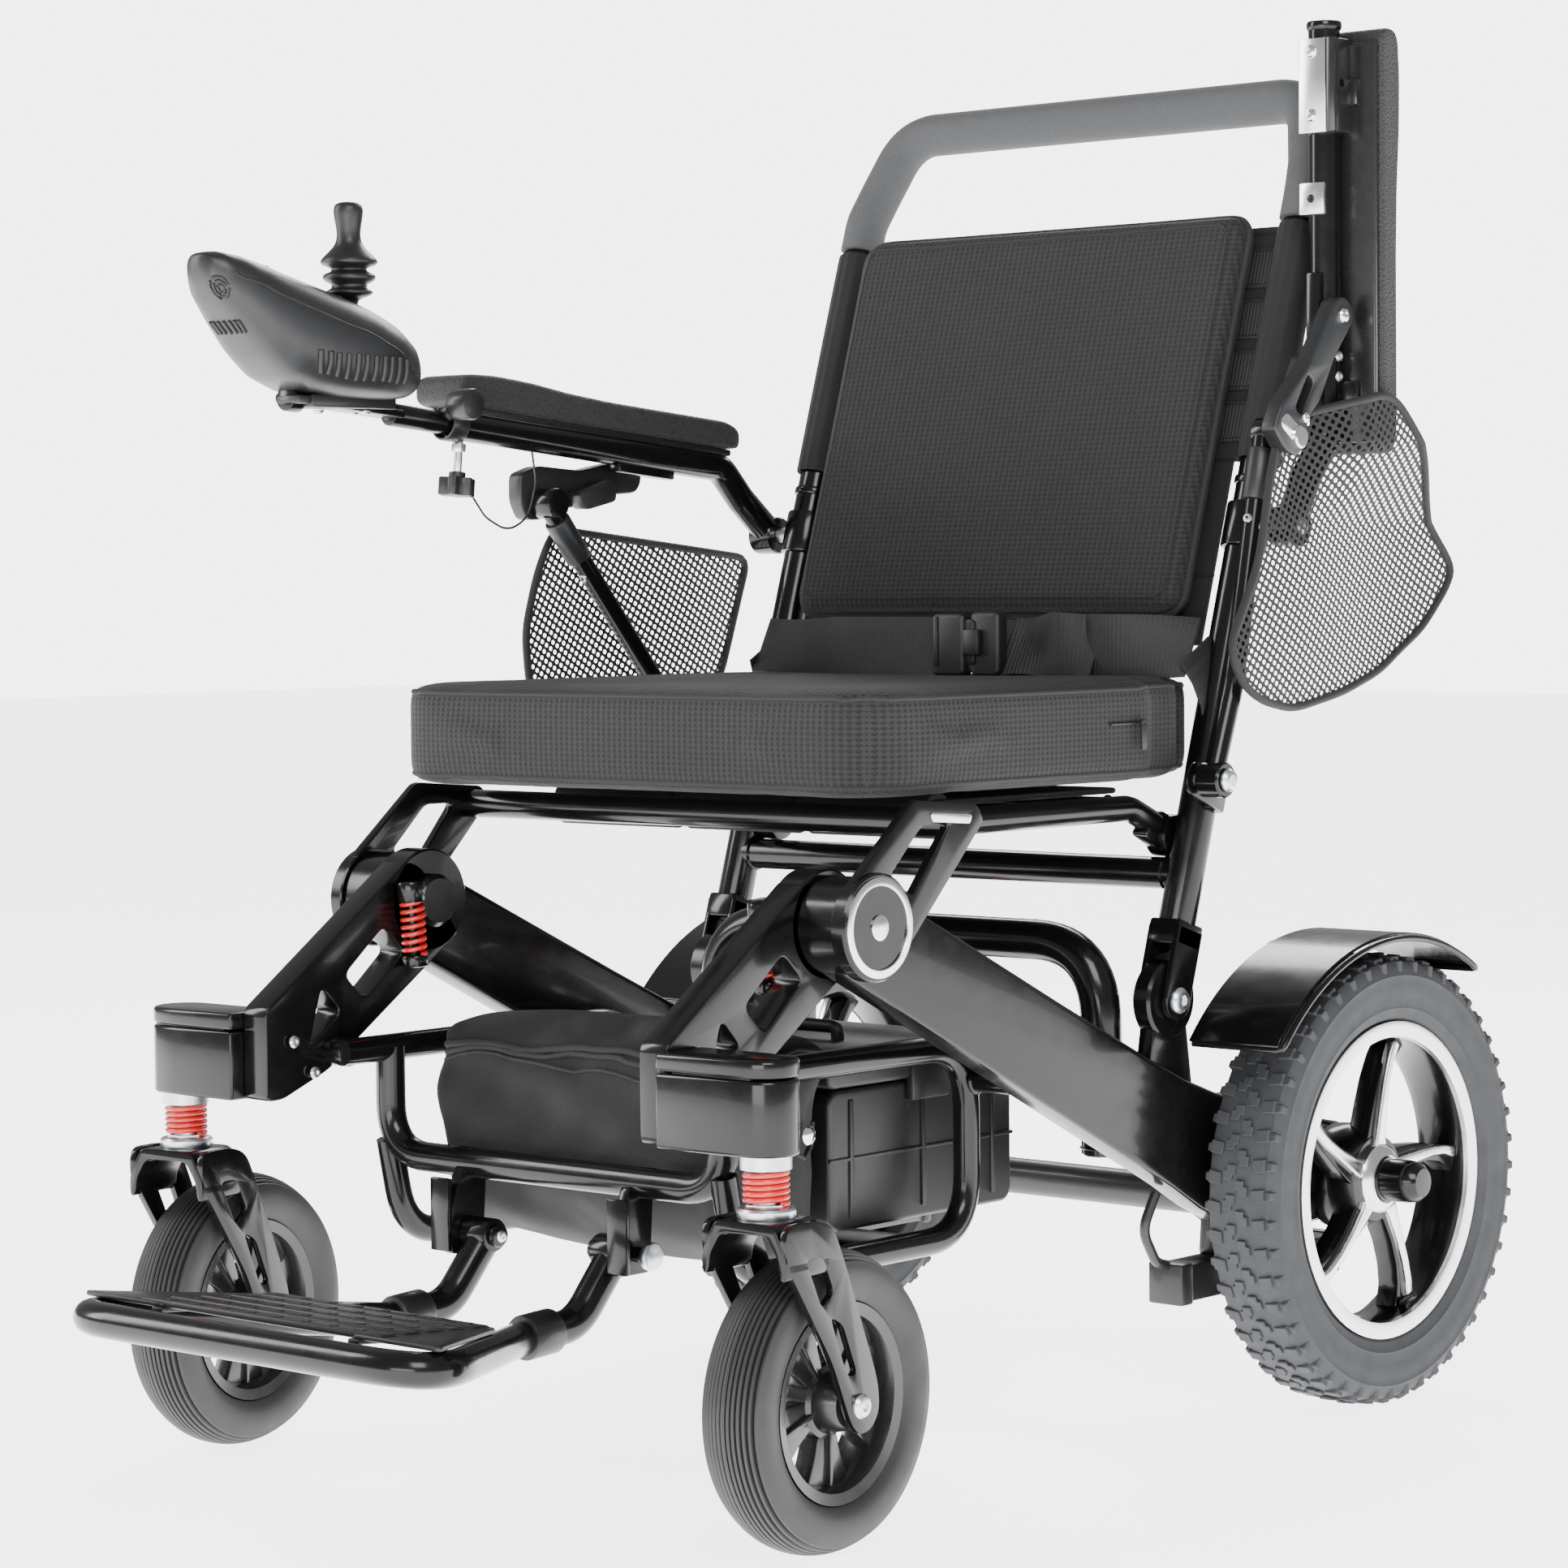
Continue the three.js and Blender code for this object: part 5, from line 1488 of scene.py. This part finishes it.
def net(outline, depth_at, step=3.2):
    """A net cut to an outline of (y, z) points and held at x = depth_at(y, z), with a bound edge."""
    ys, zs = [p[0] for p in outline], [p[1] for p in outline]
    wide, tall = max(ys) - min(ys), max(zs) - min(zs)
    select_none()
    bpy.ops.mesh.primitive_grid_add(x_subdivisions=int(wide / step), y_subdivisions=int(tall / step), size=1)
    cloth = active()
    for vertex in cloth.data.vertices:
        vertex.co = (0, min(ys) + (vertex.co.x + 0.5) * wide, min(zs) + (vertex.co.y + 0.5) * tall)
    in_edit(cloth, lambda: bpy.ops.mesh.select_mode(type="FACE"))
    for face in cloth.data.polygons:
        face.select = not inside(face.center.y, face.center.z, outline)
    bpy.ops.object.mode_set(mode="EDIT")
    bpy.ops.mesh.delete(type="FACE")
    bpy.ops.object.mode_set(mode="OBJECT")
    for loop in cloth.data.uv_layers.active.data:
        loop.uv = (loop.uv[0] * wide * 0.001, loop.uv[1] * tall * 0.001)
    for vertex in cloth.data.vertices:
        vertex.co.x = depth_at(vertex.co.y, vertex.co.z)
    ring = [(depth_at(y, z), y, z) for y, z, _ in along_outline([(y, z, 0) for y, z in outline], 7)]
    return cloth, pipe(ring, 2.9, 1, 1, 3)


def guard(letter, side, sign, outline, depth_at):
    outline = softened(outline, 14, 4)
    cloth, edge = net(outline, depth_at)
    cut = area_of(outline) * 1e-6
    size = [(max(p[i] for p in outline) - min(p[i] for p in outline)) * 0.001 for i in (0, 1)]
    cloth, edge = sided(cloth, sign), sided(edge, sign)
    done(cloth, f"side_guard_net_{side}", f"strut_{letter}", "net", replaces=(f"side_guard_{side}",),
         smooth=70)
    done(edge, f"side_guard_binding_{side}", f"strut_{letter}", "tape", smooth=60, cloth=True)
    for piece in (cloth, edge):
        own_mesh(piece)


def slack(y, z):
    """The near net hangs slack behind the raised armrest, its upper corner curled over outwards."""
    corner = max(0.0, min(1.0, (z - 620) / 55)) * max(0.0, min(1.0, (y + 92) / 60))
    sag = 5 * math.sin((y + 160) * 0.024) * math.sin((z - 490) * 0.019)
    return 255.5 + sag + 24 * corner


def drawn(y, z):
    return 255.5 + 1.5 * math.sin((y + 300) * 0.03) * math.sin((z - 460) * 0.02)


NET_SLACK = [(-101, 688), (-79, 694), (-19, 708), (-2, 703), (46, 660), (85, 614), (108, 589), (102, 574),
             (74, 545),
             (18, 516), (-33, 502), (-93, 492), (-132, 499), (-154, 512), (-166, 536), (-137, 590),
             (-124, 636),
             (-118, 654)]
NET_DRAWN = [(-78, 600), (-290, 622), (-308, 590), (-322, 548), (-318, 508), (-300, 474), (-160, 462),
             (-112, 510)]

for letter, side, sign in SIDES:
    armrest_tube(letter, side, sign)
    armrest_pad(letter, side, sign)
    armrest_bracket(letter, side, sign)
    armrest_strut(letter, side, sign)
guard("l", "left", 1, NET_SLACK, slack)
guard("r", "right", -1, NET_DRAWN, drawn)


def armrest_clamp():
    """The channel that takes a controller's arm, fitted on the left armrest too."""
    local = ARM["l"]["rest"]
    channel = joined(bar((229, -337, 34), (254, -272, 58), 1.6), bar((250, -337, 30), (256, -272, 35), 1))
    channel = carved(channel, rod((240, -306, 44), (262, -306, 44), 3, 0))
    done(channel, "left_clamp_channel", "armrest_l", "polished", local)
    strip = joined(bar((226.6, -337, 31), (249, -272, 33.8), 0.8),
                   bar((226, -337, 33), (228.8, -272, 57), 0.8))
    clip = carved(bar((226, -238, 32), (246, -216, 36.5), 1), rod((236, -227, 26), (236, -227, 40), 3, 0))
    heads = [bolt((237, y, 31), (0, 0, -1), 4.4, 2.8) for y in (-328, -284)]
    done(joined(strip, clip, *heads), "left_clamp_plate", "armrest_l", "alloy", local, smooth=30)


armrest_clamp()


# ------------------------------------------------------------------ controller
HOUSING = [(-645.5, 800, 794, 2), (-643, 803, 784, 12), (-634, 804.5, 771, 21), (-618, 802.5, 754, 28),
           (-600, 798, 735, 33), (-582, 792.5, 721, 36.5), (-560, 786.5, 713, 39), (-535, 780, 709.5, 40),
           (-510, 772.5, 708.5, 39.5), (-488, 763.5, 708.5, 36), (-470, 752, 710.5, 29), (-460, 741, 715, 20),
           (-456.5, 731, 724, 2)]


def between_stations(t):
    place = t * (len(HOUSING) - 1)
    i = min(int(place), len(HOUSING) - 2)
    share = place - i
    return [a + (b - a) * share for a, b in zip(HOUSING[i], HOUSING[i + 1])]


def housing_shell():
    select_none()
    bpy.ops.mesh.primitive_uv_sphere_add(segments=56, ring_count=48, radius=1)
    shell = active()
    for vertex in shell.data.vertices:
        sx, sy, sz = vertex.co
        t = math.acos(max(-1, min(1, sz))) / math.pi
        y, top, low, half = between_stations(t)
        turn = math.atan2(sy, sx)
        across, up = math.cos(turn), math.sin(turn)
        power = 0.74 if up > 0 else 0.6
        x = -235 + half * math.copysign(abs(across) ** power, across)
        middle, tall = (top + low) / 2, (top - low) / 2
        vertex.co = (x, y, middle + tall * math.copysign(abs(up) ** 0.8, up))
    ease = shell.modifiers.new("ease", "SMOOTH")
    ease.factor, ease.iterations = 0.5, 3
    return outward(apply_modifiers(shell))


def housing_seam(shell):
    """The line where the housing's two halves meet."""
    line = []
    for i in range(41):
        t = 0.06 + 0.88 * i / 40
        y, top, low, _ = between_stations(t)
        line.append((y, max(top - 13 - 15 * t, low + 8)))
    split = [(-180, y, z) for y, z in line] + [(-290, y, z) for y, z in reversed(line)]
    return pipe(snapped(shell, split + [split[0]], -0.1), 0.8, 1, 1, 2)


def housing_vents(shell):
    """Ribs on both flanks, a short row at the front, and a buzzer's broken rings, standing for vent slots in
    a darker plastic than the housing: the darker colour is painted shade in the slots.
    """
    ribs = []
    for i in range(11):
        y = -486 - i * 8.6
        for x in (-180, -290):
            rib = [(x, y, z) for z in (737, 730, 723, 716, 709)]
            ribs.append(pipe(snapped(shell, rib, 0.0), 2.2, 1, 1, 3))
    for i in range(7):
        rib = [(-253 + 6 * i, -640, 742 - k * 5) for k in range(4)]
        ribs.append(pipe(snapped(shell, rib, 0.2), 1.3, 1, 1, 3))
    centre = Vector((-214, -634, 773))
    for r in (4, 8, 12):
        for start in (20, 140, 260):
            turn = [math.radians(start + k * 10) for k in range(11)]
            ring = [tuple(centre + Vector((r * math.cos(t), -14, r * math.sin(t)))) for t in turn]
            ribs.append(pipe(snapped(shell, ring, 0.2), 1.0, 1, 1, 3))
    return ribs


def controller():
    shell = housing_shell()
    seam_line = housing_seam(shell)
    vents = housing_vents(shell)
    well = rod((*STICK, 736), (*STICK, 830), 17.9, 0, 48)
    shell = carved(shell, well, rod((*BUTTON, 784), (*BUTTON, 830), 7.7, 0, 32))
    done(shell, "controller_housing_finish", "controller", "grey", replaces=("controller_housing",),
         smooth=40)
    done(joined(*vents, seam_line), "controller_vents", "controller", "dark")
    foot = joined(bar((-249, -556, 703), (-221, -478, 712), 1.6),
                  bar((-247, -566, 705.5), (-223, -552, 711), 1))
    done(foot, "controller_foot", "controller", "satin")
    places = [(-229, -500, 702), (-241, -500, 702), (-235, -538, 702)]
    bolts("controller_foot_bolts", "controller", places, (0, 0, -1), 3.8, 2.6)


def controller_arm():
    x = -ARMREST_X
    local = ARM["r"]["rest"]
    arm = joined(rod((x, -288, 46), (x, -404, 46), 8.2, 0.8, 36),
                 bar((-249, -500, 43), (-227, -398, 49), 1.8),
                 rod((x, -500, 46.2), (x, -488, 46.2), 9.5, 1.4))
    done(arm, "controller_arm_finish", "controller", "paint", local, ("controller_arm",))
    stop = joined(rod((-226, -352, 58), (-207, -352, 58), 11, 2, 40),
                  rod((-236, -352, 50), (-226, -352, 56), 6, 1))
    done(stop, "armrest_end_cap", "armrest_r", "satin", local)
    collar = rod((x, -352, 46), (x, -336, 46), 12.6, 1.4, 36)
    collar = carved(collar, rod((x, -360, 46), (x, -330, 46), 11.1, 0))
    done(collar, "arm_socket_collar", "armrest_r", "satin", local)


def joystick():
    z = 752
    profile = [(0, z - 6), (4, z - 6), (4, z + 25), (9, z + 26.6), (13.6, z + 28), (16.6, z + 30),
               (16, z + 31.8),
               (12.4, z + 33), (12, z + 35), (12.6, z + 36.5), (17, z + 38), (18.8, z + 41), (17, z + 43.4),
               (12.6, z + 44.6), (12, z + 46), (12.8, z + 47.4), (18.6, z + 49), (20, z + 51), (19, z + 53.5),
               (13.4, z + 58.6), (9.4, z + 63), (8, z + 68), (8.2, z + 73), (9.6, z + 80), (10.4, z + 86),
               (9.6, z + 90.4), (6, z + 92), (0, z + 92.2)]
    stick = finer(lathe(profile, "z", (*STICK, 0), 36, closed=False))
    done(stick, "joystick_finish", "stick", "plastic", replaces=("joystick",), smooth=50)


def clamp_knob():
    x = -ARMREST_X
    local = ARM["r"]["rest"]
    lobe = (13.6, 13.6, 10.4, 9.6, 10.4)
    star = []
    for i in range(30):
        r, t = lobe[i % 5], math.radians(12 * i)
        star.append((x + r * math.cos(t), -335 + r * math.sin(t)))
    head = joined(plate(star, -4, 9, "z", 1.2, 2), rod((x, -335, 8), (x, -335, 13), 6, 1))
    done(head, "clamp_knob_finish", "knob", "plastic", local, ("clamp_knob",))
    nut = rod((x, -335, 27), (x, -335, 33), 5.4, 0.6, 6)
    screw = joined(rod((x, -335, 8), (x, -335, 36.6), 3, 0.3, 20), nut)
    done(screw, "clamp_screw", "knob", "zinc", local, smooth=30)
    lanyard = pipe([(x, -326, 4), (x, -305, -16), (x, -282, -24), (x, -262, -12), (x, -256, 14),
                    (x, -262, 36)], 0.8, 24, 8, 3)
    done(lanyard, "knob_lanyard", "armrest_r", "plastic", local)


def power_button():
    cap = lathe([(0, 786), (6.9, 786), (6.9, 795.6), (6.2, 796.8), (4, 797), (0, 796.2)], "z", (*BUTTON, 0),
                40,
                closed=False)
    done(cap, "power_button_finish", "button", "plastic", replaces=("power_button",))


controller()
controller_arm()
joystick()
clamp_knob()
power_button()


# ------------------------------------------------------------------ storage bag
def storage_bag():
    outline = [(-534, 289), (-500, 295), (-452, 292), (-436, 284), (-434, 200), (-434, 160), (-446, 140),
               (-480, 146), (-520, 160), (-541, 192), (-540, 240)]
    bag = plate(softened(outline, 10, 3), -132, 132, "x", 7, 3)
    bag = stuffed(bag, 5.0, 5.0, 1.6, 5)
    for vertex in bag.data.vertices:
        x, y, z = vertex.co
        crease = 4.2 * math.sin(x * 0.04 + z * 0.055) * math.sin(z * 0.05 - y * 0.03 + 1.2)
        crease += 1.9 * math.sin(x * 0.1 - z * 0.085) + 1.1 * math.sin(x * 0.05 + z * 0.17)
        share = min(1.0, max(0.0, (z - 150) / 60))
        vertex.co.y += crease * (0.4 + 0.6 * share) * (1 if y < -480 else 0.4)
        vertex.co.x *= 0.88 + 0.12 * min(1.0, (z - 140) / 120) - 0.02 * math.sin((z - 140) / 150 * math.pi)
    bag = finer(bag)
    hem = []
    for k, (z, y0, r) in enumerate(((284, -540, 2.6), (277, -543, 2.0), (268, -541, 1.2))):
        line = [(x, y0, z + 5 * math.sin(x * 0.017 + 0.6 + k) + 2 * math.sin(x * 0.06)) for x in range(-126,
                                                                                                       127,
                                                                                                       9)]
        hem.append(pipe(snapped(bag, line, 0.6), r, 1, 1, 3))
    flap_edge = [(140, y, z) for y, z in ((-436, 282), (-470, 286), (-500, 280), (-512, 262), (-506, 240),
                                          (-492, 230),
                                          (-478, 222), (-466, 214), (-450, 212), (-436, 216))]
    hem.append(pipe(snapped(bag, along_outline(flap_edge, 8)[:-6], 0.8), 1.5, 1, 1, 3))
    done(bag, "storage_bag_cover", "chassis", "nylon", replaces=("storage_bag",), smooth=75, cloth=True)
    done(joined(*hem), "storage_bag_hems", "chassis", "tape", smooth=60, cloth=True)
    studs = [lathe([(0, 0), (6, 0), (6.4, 0.8), (4.6, 2.2), (0, 2.6)], "x", place, 28, closed=False)
             for place in ((133.5, -494, 244), (133.5, -462, 228))]
    done(joined(*studs), "bag_snaps", "chassis", "chrome")


storage_bag()


# ------------------------------------------------------------------ floor and finish
def finish_the_rest():
    """The CAD parts that no new piece replaces, such as the stick's gimbal, are moulded plastic."""
    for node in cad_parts.values():
        if not node.hide_render:
            node.data.materials.clear()
            node.data.materials.append(LOOKS["plastic"])


finish_the_rest()


def floor_finish():
    look = Look("pale_floor", (0.9, 0.9, 0.9), 0.55, emission_strength=FLOOR_GLOW)
    look.shader.inputs["Emission Color"].default_value = (1, 1, 1, 1)
    look.feed("Base Color", look.blend(look.noise(3, 2), (0.88, 0.88, 0.88), (0.92, 0.92, 0.92)))
    return look.material


select_none()
bpy.ops.mesh.primitive_plane_add(size=30, location=(0, 0, -0.0005))
floor = active()
floor.name = "floor"
floor.data.materials.append(floor_finish())
floor.data.transform(floor.matrix_world)
floor.matrix_world = Matrix.Identity(4)
